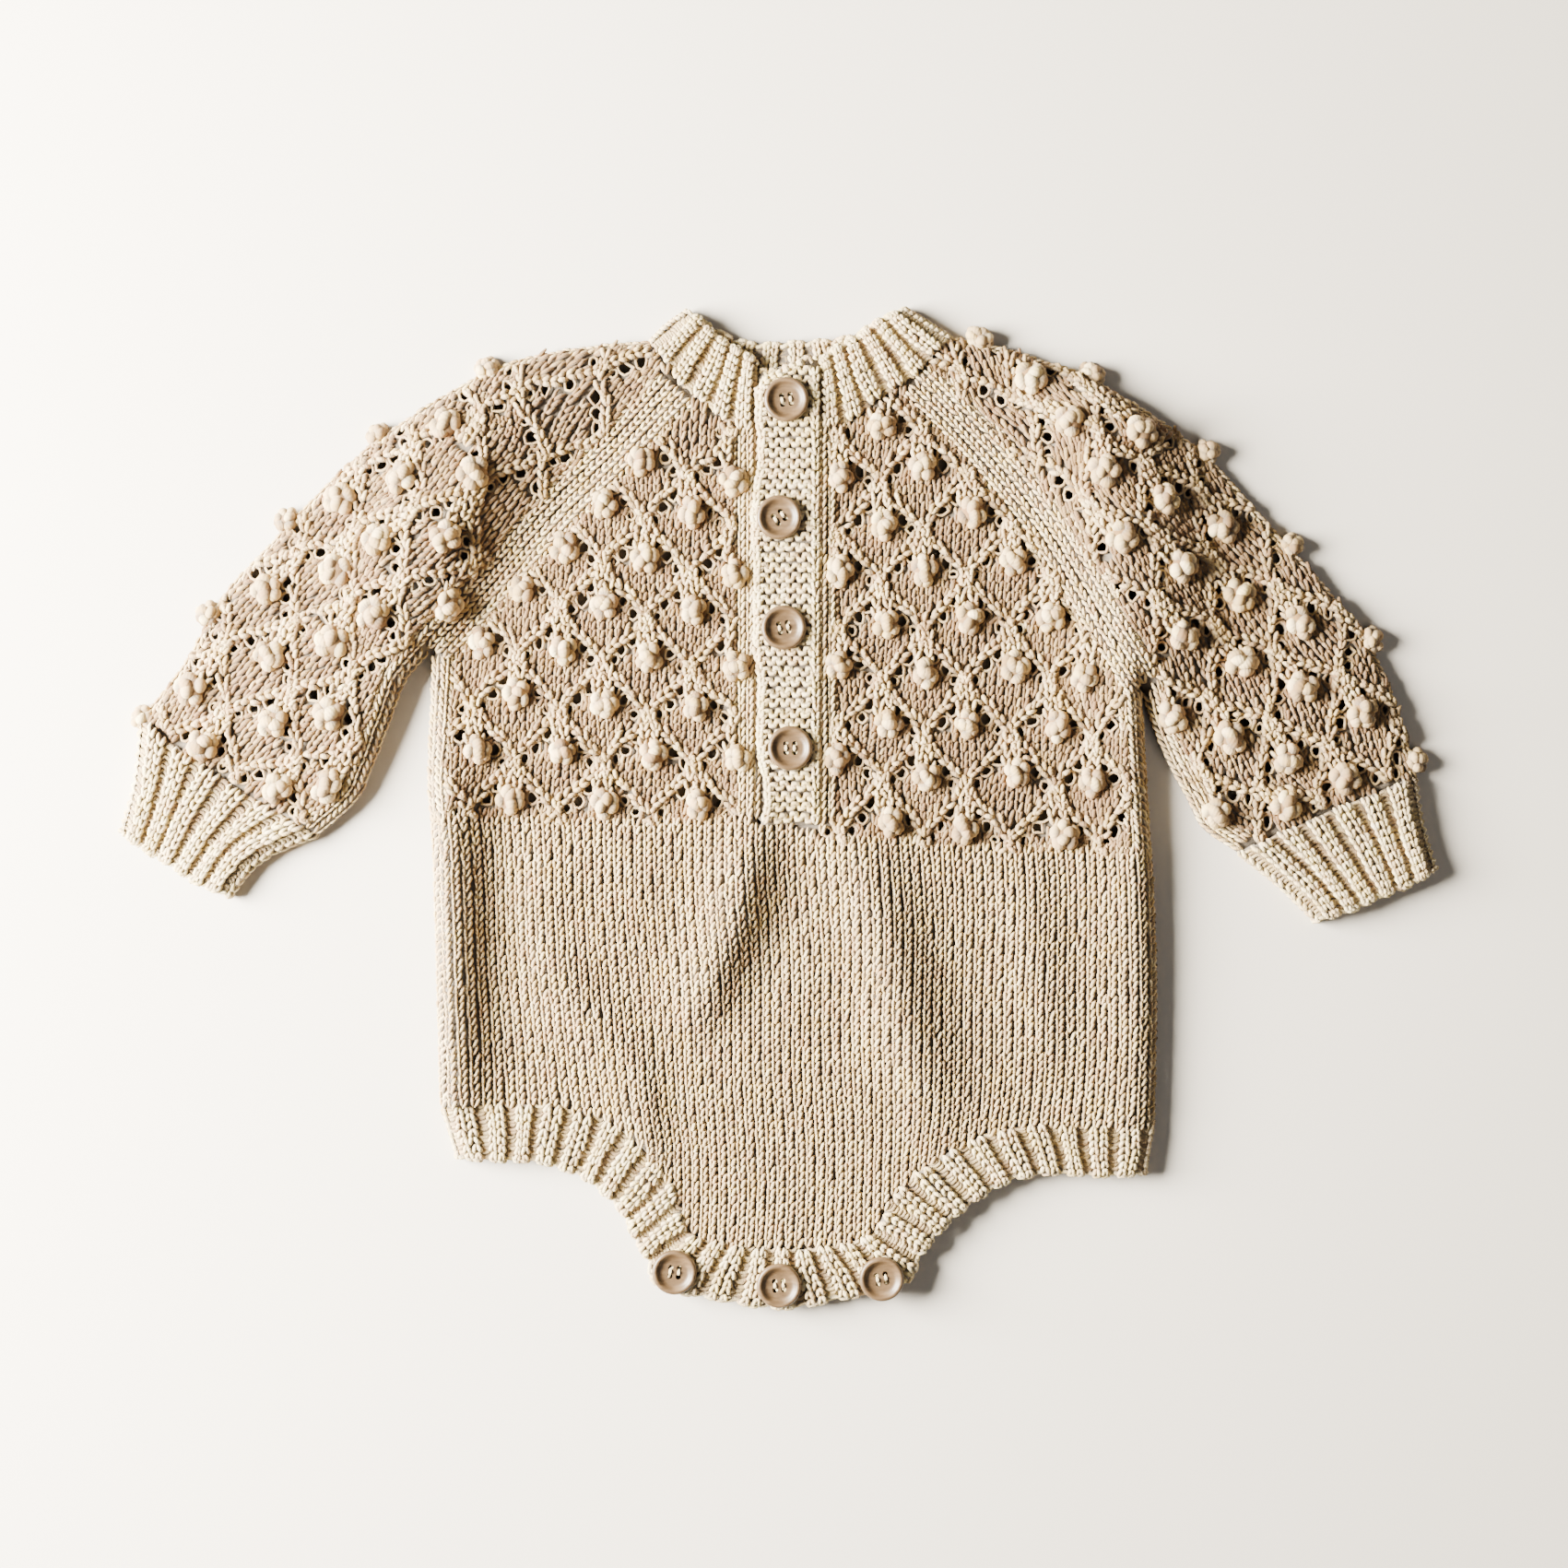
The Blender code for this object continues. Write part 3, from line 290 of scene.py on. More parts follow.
def shrunk(outline, by):
    into, out = unit(outline - np.roll(outline, 1, axis=0)), unit(np.roll(outline, -1, axis=0) - outline)
    normal = unit(np.stack([-(into + out)[:, 1], (into + out)[:, 0]], axis=1))
    corner = np.maximum(0.5, normal[:, 1] * into[:, 0] - normal[:, 0] * into[:, 1])
    return outline + normal * (by / corner)[:, None]


def rounded(off, reach):  # a quarter circle: 0 at an edge, 1 from reach inwards
    return np.sqrt(1 - (1 - np.clip(off / reach, 0, 1)) ** 2)


softFolds = [  # x, y and rise down along each crest, negative in a trough; half width to its left and right
    ([(-9, -4, 2), (-14, -26, 6), (-18, -45, 6.8), (-25, -62, 6), (-30, -77, 4), (-36, -94, 0)], 12, 9),
    ([(12, -12, 0), (7.6, -26, -1.6), (2.2, -44, -1.8), (-3.2, -62, -1.4), (-12, -84, 0)], 8, 8),
    ([(29, -6, 1.8), (33, -26, 5), (38.5, -44, 6.6), (43.6, -62, 7.2), (47.6, -80, 6.8), (53, -98, 5.4),
      (59, -120, 2.6), (64, -136, 0)], 12, 15),
    ([(-96, -48, 0), (-88, -62, 2.6), (-72, -82, 3.2), (-60, -96, 2.6), (-54, -112, 3.4), (-52, -138, 2.6),
      (-48, -156, 0)], 15, 9),
    ([(-130.5, 50, 0), (-129.6, 20, 4), (-129, -10, 8), (-128.4, -60, 8.6), (-127.2, -104, 6.8),
      (-125, -128, 1.6)], 6, 15),
    ([(-117, 20, 0), (-113, -20, -2.6), (-112, -70, -2.8), (-110, -124, 0)], 8, 15),
    ([(131, 74, 0), (137, 44, 3.4), (138, 10, 4.2), (138.6, -50, 3.8), (138.4, -118, 2.4)], 14, 8),
    ([(92, -10, 0), (97, -40, 2.2), (103, -80, 2), (106, -110, 0)], 11, 13),
    ([(-88, -6, 0), (-92, -30, 1.8), (-96, -52, 0)], 11, 12),
    ([(112, 178, 0), (120, 160, 3.8), (126, 142, 7.2), (130, 116, 9.2), (135, 88, 9.2), (139, 66, 8.2),
      (144, 48, 5.6), (150, 30, 1)], 22, 28),
    ([(150, 158, 0), (164, 136, -1.8), (172, 112, -3.2), (176, 86, -3.4), (180, 60, -2.8),
      (186, 30, 0)], 20, 26),
    ([(-96, 168, 0), (-112, 146, 3.6), (-122, 126, 6.4), (-130, 104, 8.2), (-138, 84, 8.6), (-147, 58, 7.4),
      (-158, 30, 5.4), (-172, 6, 2.4)], 30, 15),
    ([(-46, 162, 0), (-72, 134, -1.8), (-96, 107, -3.2), (-114, 84, -3.6), (-128, 62, -2.4),
      (-138, 46, 0)], 11, 14),
]


def foldRise(points):
    points = np.atleast_2d(points)[:, :2]
    rise = np.zeros(len(points))
    for path, left, right in softFolds:
        line = curve(path, 9.0)
        near, crest, side = np.full(len(points), np.inf), np.zeros(len(points)), np.zeros(len(points))
        for a, b in zip(line[:-1], line[1:]):
            way = b[:2] - a[:2]
            along = np.clip((points - a[:2]) @ way / (way @ way), 0, 1)
            off = points - a[:2] - along[:, None] * way
            gap = np.hypot(off[:, 0], off[:, 1])
            closer = gap < near
            near[closer] = gap[closer]
            crest[closer] = (a[2] + (b[2] - a[2]) * along)[closer]
            side[closer] = (way[0] * off[:, 1] - way[1] * off[:, 0])[closer]
        rise += crest * np.exp(-((near / np.where(side > 0, right, left)) ** 2))
    return rise


def reliefOf(height, outline, step=1.0):  # heights on an even grid, for reading quickly
    low, high = outline.min(axis=0) - 8, outline.max(axis=0) + 8
    counts = np.ceil((high - low) / step).astype(int)
    xs, ys = (low[k] + np.arange(counts[k]) * step for k in (0, 1))
    points = np.stack(np.meshgrid(xs, ys, indexing="ij"), axis=-1).reshape(-1, 2)
    z = height(points).reshape(counts)
    slopes = np.gradient(z, step)
    return {"low": low, "step": step, "layers": np.stack([z, *slopes], axis=-1)}


def readRelief(relief, points):  # height and upward normal at each point
    layers = relief["layers"]
    at = (points - relief["low"]) / relief["step"]
    cell = np.clip(np.floor(at).astype(int), 0, np.array(layers.shape[:2]) - 2)
    part = np.clip(at - cell, 0, 1)
    x, y = cell[:, 0], cell[:, 1]
    a, b = part[:, :1], part[:, 1:]
    mixed = (layers[x, y] * (1 - a) + layers[x + 1, y] * a) * (1 - b)
    mixed += (layers[x, y + 1] * (1 - a) + layers[x + 1, y + 1] * a) * b
    return mixed[:, 0], unit(np.stack([-mixed[:, 1], -mixed[:, 2], np.ones(len(points))], axis=1))


yarnShape = {"height": 0.95, "wrap": 0.12}  # of a strand's section: height by width, radians past half round


def newYarn():
    return {"points": [], "faces": [], "data": [], "count": 0}


def addPart(yarn, points, data, faces):
    yarn["points"].append(points.reshape(-1, 3))
    yarn["data"].append(data.reshape(-1, 3))
    yarn["faces"].append(faces.reshape(-1, 4) + yarn["count"])
    yarn["count"] += points.size // 3


def addStrands(yarn, centres, normals, widths, shades, sides=4):  # many short strands, open underneath
    count, rings = centres.shape[:2]
    if not count:
        return
    way = unit(np.gradient(centres, axis=1))
    side = unit(np.cross(way, normals))
    up = np.cross(side, way)
    angle = np.linspace(-yarnShape["wrap"], math.pi + yarnShape["wrap"], sides)
    rise = np.sin(angle) * yarnShape["height"]
    ring = side[:, :, None] * np.cos(angle)[:, None] + up[:, :, None] * rise[:, None]
    points = centres[:, :, None] + ring * widths[:, :, None, None]
    steps = np.linalg.norm(np.diff(centres, axis=1), axis=2)
    run = np.concatenate([np.zeros((count, 1)), np.cumsum(steps, axis=1)], axis=1)
    data = np.stack(np.broadcast_arrays(run[:, :, None], angle / math.pi, shades[:, None, None]), axis=-1)
    first = np.arange(rings - 1)[:, None] * sides + np.arange(sides - 1)
    quads = np.stack([first, first + sides, first + sides + 1, first + 1], axis=-1).reshape(-1, 4)
    addPart(yarn, points, data, quads[None] + (np.arange(count) * rings * sides)[:, None, None])


def meshObject(name, points, faces, material):
    mesh = bpy.data.meshes.new(name)
    mesh.vertices.add(len(points))
    mesh.vertices.foreach_set("co", (points * mm).astype(np.float32).ravel())
    mesh.loops.add(faces.size)
    mesh.loops.foreach_set("vertex_index", faces.astype(np.int32).ravel())
    mesh.polygons.add(len(faces))
    mesh.polygons.foreach_set("loop_start", np.arange(0, faces.size, faces.shape[1], dtype=np.int32))
    mesh.update(calc_edges=True)
    mesh.validate()
    mesh.shade_smooth()
    mesh.materials.append(material)
    made = bpy.data.objects.new(name, mesh)
    bpy.context.scene.collection.objects.link(made)
    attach(made, "root")
    return made


def yarnObject(name, yarn, material):
    points = np.concatenate(yarn["points"])
    points[:, 2] = np.maximum(points[:, 2], 0.02)  # nothing sinks into the floor
    made = meshObject(name, points, np.concatenate(yarn["faces"]), material)
    attribute = made.data.attributes.new("yarn", "FLOAT_VECTOR", "POINT")
    attribute.data.foreach_set("vector", np.concatenate(yarn["data"]).astype(np.float32).ravel())
    print(name, "stitches,", sum(len(f) for f in yarn["faces"]) * 2, "triangles")


stockinette = {"wales": 71, "row": 2.9, "fullness": 0.205}  # yarn's half width as a share of the wale
legs = {  # across in wales, along in rows, lift and width as shares, down one leg of a knit stitch
    "left": [(-0.2, -0.15, -1.1, 0.45), (-0.27, 0.28, 0, 0.85), (-0.3, 0.8, 0.15, 0.85),
             (-0.26, 1.25, -1, 0.45)],
    "right": [(-0.08, -0.3, -1.1, 0.55), (0.06, 0.15, 0, 1), (0.24, 0.68, 0.2, 1.05),
              (0.36, 1.08, -0.9, 0.6)],
    "openRight": [(0.02, -0.12, -1.1, 0.55), (0.15, 0.25, 0, 1), (0.29, 0.7, 0.12, 0.95),
                  (0.36, 1.06, -1.1, 0.5)],
    "cap": [(-0.46, -0.22, -0.7, 0.65), (-0.2, 0.27, 0.15, 1), (0.2, 0.27, 0.15, 1),
            (0.46, -0.22, -0.7, 0.65)],
    "cup": [(-0.46, 0.22, -0.6, 0.65), (-0.2, -0.25, 0.05, 1), (0.2, -0.25, 0.05, 1),
            (0.46, 0.22, -0.6, 0.65)],
}
legs["openLeft"] = [(-across, *rest) for across, *rest in legs["openRight"]]
knitLegs = {"plain": ("left", "right"), "open": ("openLeft", "openRight")}
halfUp = 0.6  # a stitch's middle, in rows above its foot


def tones(count, base=0.42, spread=0.1):
    return base + spread * dice.standard_normal(count)


def stitch(yarn, at, cells, leg, width, lift=0.3, fine=True, base=0.42, wobble=0.035):
    if not len(cells):
        return
    shape = np.array(legs[leg])
    if not fine:
        shape = np.array([shape[0], (shape[1] + shape[2]) / 2, shape[3]])
    count, rings = len(cells), len(shape)
    spots = np.repeat(cells[:, None], rings, axis=1)
    spots[..., :2] += shape[None, :, :2] + wobble * dice.standard_normal((count, 1, 2))
    places, normals = at(spots.reshape(count * rings, -1))
    places, normals = places.reshape(count, rings, 3), normals.reshape(count, rings, 3)
    fullness = width * (1 + 0.05 * dice.standard_normal((count, 1)))
    rise = lift + shape[None, :, 2] * fullness + 0.05 * dice.standard_normal((count, 1))
    places = places + normals * rise[..., None]
    addStrands(yarn, places, normals, fullness * shape[None, :, 3], tones(count, base), 4 if fine else 3)


def knit(yarn, at, cells, wale, lift=0.3, fine=True, base=0.42, wobble=0.035, style="plain",
         full=stockinette["fullness"]):
    cells = np.array(cells, float)
    if len(cells):  # neighbouring wales are out of step a little
        cells[:, 1] += 0.17 * np.sin(cells[:, 0] * 7.3 + cells[:, 1] * 0.13)
    for leg in knitLegs[style]:
        stitch(yarn, at, cells, leg, wale * full, lift, fine, base, wobble)


def chain(yarn, at, cells, shape, width, base=0.58, lift=0.1):  # one strand a cell, along an edge
    if not len(cells):
        return
    spots = cells[:, None] + shape[None, :, :2] + 0.04 * dice.standard_normal((len(cells), 1, 2))
    places, normals = at(spots.reshape(-1, 2))
    places, normals = places.reshape(len(cells), -1, 3), normals.reshape(len(cells), -1, 3)
    rise = lift + shape[None, :, 2] * width + 0.05 * dice.standard_normal((len(cells), 1))
    fat = width * (1 + 0.06 * dice.standard_normal((len(cells), 1))) * shape[None, :, 3]
    addStrands(yarn, places + normals * rise[..., None], normals, fat, tones(len(cells), base))


def onRelief(relief, place, down=False):  # reads a surface at a column and row
    def at(spots):
        plan = place(spots)
        z, normal = readRelief(relief, plan)
        return np.column_stack([plan, z]), -normal if down else normal
    return at


def beside(line, off):
    way = unit(np.gradient(line, axis=0))
    return line + np.stack([-way[:, 1], way[:, 0]], axis=1) * off


def besideLine(line, wale, row):  # columns beside a line, rows along it
    own, way = lengths(line), unit(np.gradient(line, axis=0))

    def place(spots):
        along = spots[:, 1] * row
        turn = unit(np.stack([np.interp(along, own, way[:, k]) for k in (0, 1)], axis=1))
        across = np.stack([-turn[:, 1], turn[:, 0]], axis=1)
        past = along - np.clip(along, 0, own[-1])
        return atLength(line, along) + turn * past[:, None] + across * (spots[:, :1] * wale)
    return place


def alongPaths(paths, row, wale):  # columns that follow many short paths; a spot is across, row, path
    steps = np.linalg.norm(np.diff(paths, axis=1), axis=2)
    own = np.concatenate([np.zeros((len(paths), 1)), np.cumsum(steps, axis=1)], axis=1)

    def place(spots):
        index = spots[:, 2].astype(int)
        along = spots[:, 1] * row
        lines, runs = paths[index], own[index]
        part = np.clip((runs[:, 1:-1] <= along[:, None]).sum(axis=1), 0, paths.shape[1] - 2)
        rows = np.arange(len(spots))
        a, b = lines[rows, part], lines[rows, part + 1]
        share = (along - runs[rows, part]) / np.maximum(runs[rows, part + 1] - runs[rows, part], 1e-6)
        way = unit(b - a)
        across = np.stack([way[:, 1], -way[:, 0]], axis=1)
        return a + (b - a) * share[:, None] + across * (spots[:, :1] * wale)
    return place, own[:, -1]


def cellsOver(spanU, spanV):  # every whole column and row in a range
    u, v = np.meshgrid(np.arange(*spanU), np.arange(*spanV), indexing="ij")
    return np.stack([u.ravel(), v.ravel()], axis=1).astype(float)


bobbleColumns = {  # x and y of the lowest or first, step to the next, count
    "frontLeft": [
        (-117, 22.7, 1.4, 41.8, 2), (-104.4, 3.6, 2.3, 41, 3), (-84.2, 22, 0.5, 39.8, 3),
        (-67.7, 1.8, 0, 38.9, 4), (-48.6, 20.9, -1.6, 38.2, 4), (-31, 1.4, -0.9, 38, 4),
        (-15.6, 19.4, -0.6, 36, 4),
    ],
    "frontRight": [
        (23, 19.1, 0.5, 36.7, 4), (44, -5.5, -0.9, 38.6, 5), (58, 12.2, -0.5, 40.3, 4),
        (72.6, -8.4, 1, 41.2, 4), (93.2, 13.7, -0.7, 41.4, 3), (111.6, -10.6, -2.6, 42.4, 3),
        (122.4, 10.1, -3.2, 41, 2),
    ],
    "left": [
        (-128.9, 149, 11.2, -19.4, 2), (-145.8, 128.2, -9.2, -24.2, 2), (-128.4, 104.8, 0.2, -25.6, 2),
        (-156.6, 75.2, 0, 0, 1), (-170.5, 120.2, -1.2, -27.9, 5), (-199, 85, 1.5, -25.7, 4),
        (-228.8, 46.4, 4.8, -21.9, 2),
        (-113, 173.2, 0, 0, 1), (-157.4, 147, 0, 0, 1), (-192.4, 114.4, 0, 0, 1), (-226, 78.4, 0, 0, 1),
        (-250, 35, 0, 0, 1),
    ],
    "right": [
        (98.3, 167.4, 14.7, -17.3, 1), (113, 150.1, 27.4, -4.3, 2), (126, 130.3, 23.6, -10.4, 3),
        (132.8, 104.4, 23.5, -10.7, 4), (157, 66.6, 23.5, -9.8, 4), (153.4, 35.6, 22.4, -8, 4),
        (171, -2, 27, 3.2, 2),
        (80, 185.4, 0, 0, 1), (123.6, 172.4, 0, 0, 1), (169.6, 139.6, 0, 0, 1), (202.6, 103.2, 0, 0, 1),
        (233.2, 66.8, 0, 0, 1), (249.6, 20, 0, 0, 1),
    ],
}
lattices = {  # a bobble to count from, direction up the wales, half a repeat across and along
    "frontLeft": ((-67.7, 1.8), (0, 1), 17.0, 19.6),
    "frontRight": ((72.6, -8.4), (0, 1), 16.8, 20.3),
    "left": ((-171.7, 92.3), (0.553, 0.833), 14.5, 21.2),
    "right": ((180.5, 56.8), (-0.54, 0.84), 14.6, 22.0),
}


def latticeOf(name):  # gives each bobble its place in the repeat, and bends the repeat to pass through them
    origin, up, halfAcross, halfAlong = lattices[name]
    up = np.array(up, float) / np.linalg.norm(up)
    across = np.array([up[1], -up[0]])
    spots = np.array([(x + stepX * i, y + stepY * i) for x, y, stepX, stepY, count in bobbleColumns[name]
                      for i in range(count)])
    rough = np.stack([(spots - origin) @ across / halfAcross, (spots - origin) @ up / halfAlong], axis=1)
    places = []
    for u, v in rough:
        columns, rows = (range(round(part) - 1, round(part) + 2) for part in (u, v))
        near = [(i, j) for i in columns for j in rows if (i + j) % 2 == 0]
        places.append(min(near, key=lambda c: ((c[0] - u) * halfAcross) ** 2 + ((c[1] - v) * halfAlong) ** 2))
    places = np.array(places, float)
    even = origin + places[:, :1] * halfAcross * across + places[:, 1:] * halfAlong * up
    return {"origin": np.array(origin), "across": across * halfAcross, "up": up * halfAlong, "cells": places,
            "even": even, "shift": spots - even, "spots": spots}


def onLattice(lattice, spots):
    plan = lattice["origin"] + spots[:, :1] * lattice["across"] + spots[:, 1:] * lattice["up"]
    weight = np.exp(-(np.linalg.norm(plan[:, None] - lattice["even"][None], axis=2) / 15) ** 2)
    return plan + (weight @ lattice["shift"]) / (weight.sum(axis=1, keepdims=True) + 0.12)


motif = {  # round one bobble, in half repeats across and along
    "lean": -0.07,
    "fork": 0.84,
    "eyelets": [(0.29, 0.33), (0.53, 0.07), (0.74, -0.16)],
    "stem": [(0.13, 0.16), (0.13, 0.34), (0.1, 0.54), (0.07, 0.72), (0.04, 0.86)],
}
eyelet = {
    "sizes": [(2.2, 2.7), (1.95, 2.3), (1.5, 1.8)],  # half width and half length
    "apart": 0.3,
    "usual": 1.75,  # half width that the next three are for
    "push": 1.2,
    "reach": 3.4,
    "sink": 0.7,
    "yarn": 0.62,
    "rim": 0.35,
    "uneven": 0.13,  # no two are drawn to the same shape
}
trellis = {
    "wale": 3.5,
    "spread": 4.3,
    "arms": [(0.32, 0.7, 0.29, 3.3), (0.31, 0.85, 0.29, 3.5)],  # half width by wale, lift, tone, row
    "stem": (0.29, 1.3, 0.42, 3.2),
    "room": {"eyelet": 0.45, "bobble": 3.4, "arm": 1.35, "stem": 1.7},  # kept clear of the field's stitches
    "field": 0.04,  # tone: painted shade, low as the field lies deep in the arms' shade
}


def eyeletHoles(lattice, motifs, outline, fits):  # x, y, half width and half length of each
    holes = []
    for (u, v), size in zip(motif["eyelets"], eyelet["sizes"]):
        for sign in (-1, 1):
            plan = onLattice(lattice, motifs + (sign * u, v) + 0.025 * dice.standard_normal((len(motifs), 2)))
            radii = np.array(size) * (1 + 0.11 * dice.standard_normal((len(plan), 2)))
            holes.append(np.column_stack([plan, radii]))
    holes = np.concatenate(holes)
    holes = holes[inside(holes[:, :2], outline)]
    holes = holes[fits(holes[:, :2], 2.2)]
    apart = np.linalg.norm(holes[:, None, :2] - holes[None, :, :2], axis=2)
    apart = apart - holes[:, None, 3] - holes[None, :, 3]
    return holes[~np.tril(apart < eyelet["apart"], -1).any(axis=1)]


def trellisPaths(lattice, motifs):  # arms climb from a neighbour's fork to this one; stems leave each bobble
    run = np.linspace(1, 0, 7)
    arms, stems = [], []
    for sign in (-1, 1):
        path = np.column_stack([sign * (run - 0.05 * np.sin(2 * math.pi * run)), motif["fork"] - run])
        path = onLattice(lattice, (motifs[:, None] + path).reshape(-1, 2)).reshape(len(motifs), 7, 2)
        arms.append(path + 0.35 * dice.standard_normal(path.shape))
        path = lattice["cells"][:, None] + np.array(motif["stem"]) * (sign, 1) + (motif["lean"] * 0.7, 0)
        stems.append(onLattice(lattice, path.reshape(-1, 2)).reshape(path.shape))
    return arms, stems


def pushedOff(plan, holes):  # yarn drawn aside from each eyelet
    if not len(holes):
        return plan, np.zeros(len(plan))
    off = plan[:, None] - holes[None, :, :2]
    far = np.linalg.norm(off, axis=2)
    near = far.argmin(axis=1)
    rows = np.arange(len(plan))
    gap, size = far[rows, near], holes[near, 2] / eyelet["usual"]
    strength = np.exp(-((gap / eyelet["reach"] / size) ** 2))
    push = eyelet["push"] * size * strength
    return plan + off[rows, near] / np.maximum(gap, 0.3)[:, None] * push[:, None], strength


def drawRims(yarn, relief, holes):  # the yarn round each eyelet, sunk at its edge and given a tone of 0.3
    angle = np.linspace(0, 2 * math.pi, 9)
    ring = np.stack([np.cos(angle), np.sin(angle)], axis=1)
    bend = 1 + eyelet["uneven"] * dice.standard_normal((len(holes), 9, 1))
    bend[:, -1] = bend[:, 0]
    plan = holes[:, None, :2] + ring * (holes[:, None, 2:] + eyelet["rim"]) * bend
    z, normal = readRelief(relief, plan.reshape(-1, 2))
    spots = np.column_stack([plan.reshape(-1, 2), z - eyelet["rim"]]).reshape(len(holes), 9, 3)
    widths = np.full((len(holes), 9), eyelet["yarn"])
    addStrands(yarn, spots, normal.reshape(len(holes), 9, 3), widths, tones(len(holes), 0.3))


# a panel's lace: eyelets, the field between them, the trellis over it, then a bobble at every crossing
def drawLace(yarn, bobbleYarn, name, size, relief, outline, fits, foldLine=None):
    lattice = latticeOf(name)
    perHalf, rowsPerHalf = size["perHalf"], size["rowsPerHalf"]
    steps = np.array([1 / perHalf, 1 / rowsPerHalf])
    low, high = lattice["cells"].min(axis=0).astype(int) - 2, lattice["cells"].max(axis=0).astype(int) + 3
    motifs = cellsOver((low[0], high[0]), (low[1], high[1]))
    motifs = motifs[motifs.sum(axis=1) % 2 == 0] + (motif["lean"], 0)
    holes = eyeletHoles(lattice, motifs, outline, fits)
    arms, stems = trellisPaths(lattice, motifs)
    armSpots = np.concatenate([arm[:, k] * (1 - t) + arm[:, k + 1] * t
                               for arm in arms for k in range(6) for t in (0, 0.5)])
    armSpots = armSpots[inside(armSpots, outline)]
    stemSpots = np.concatenate(stems).reshape(-1, 2)

    def place(spots):
        return onLattice(lattice, spots * steps)

    def at(spots):
        plan, strength = pushedOff(place(spots), holes)
        z, normal = readRelief(relief, plan)
        return np.column_stack([plan, z - eyelet["sink"] * strength]), normal

    cells = cellsOver((low[0] * perHalf, high[0] * perHalf), (low[1] * rowsPerHalf, high[1] * rowsPerHalf))
    cells = cells + (0.5, 0)
    centres = place(cells + (0, halfUp))
    kept = inside(centres, outline)
    cells, centres = cells[kept], centres[kept]
    kept = fits(centres, 0.0)
    cells, centres = cells[kept], centres[kept]
    room = trellis["room"]
    off = centres[:, None] - holes[None, :, :2]
    kept = (np.linalg.norm(off / (holes[None, :, 2:] + room["eyelet"]), axis=2) > 1).all(axis=1)
    kept &= nearest(centres, lattice["spots"]) > room["bobble"]
    kept &= (nearest(centres, armSpots) > room["arm"]) & (nearest(centres, stemSpots) > room["stem"])
    knit(yarn, at, cells[kept], size["wale"], lift=0.1, base=trellis["field"], wobble=0.07, full=0.262)
    drawRims(yarn, relief, holes)

    for paths, (width, lift, base, row) in zip(arms + stems, trellis["arms"] + [trellis["stem"]] * 2):
        placeOn, reach = alongPaths(paths, row, trellis["spread"])
        cells = np.array([(0.0, k, i) for i in range(len(paths)) for k in range(round(reach[i] / row))])
        centres = placeOn(cells + (0, halfUp, 0))
        cells = cells[inside(centres, outline) & fits(centres, 0.6)]
        knit(yarn, onRelief(relief, placeOn), cells, trellis["wale"], lift=lift, base=base, wobble=0.11,
             style="open", full=width)
    for spot in lattice["spots"]:
        place, out = (spot, None) if foldLine is None else outwardFrom(spot, foldLine, outline)
        drawBobble(bobbleYarn, lattice, place, relief, size["bobble"], out)
    return holes


bobble = {
    "across": 5.7,  # half sizes of the ball that the loops are wound round
    "along": 6.3,
    "rise": 5.0,
    "sink": 0.3,
    "lump": 2.35,  # half width of a loop
    "length": 6.8,
    "rings": [(5, 64, 0.5), (2, 22, 1.2)],  # loops, degrees from the top, slant
    "foldRing": (5, 112, 0.5),  # one more where a bobble hangs over a fold
    "stick": 2.0,  # how far its middle stands out of the fold
    "onFold": 0.8,
    "core": 1.45,  # below the loops
    "fold": 8.0,  # a bobble this near a sleeve's fold hangs over it
}


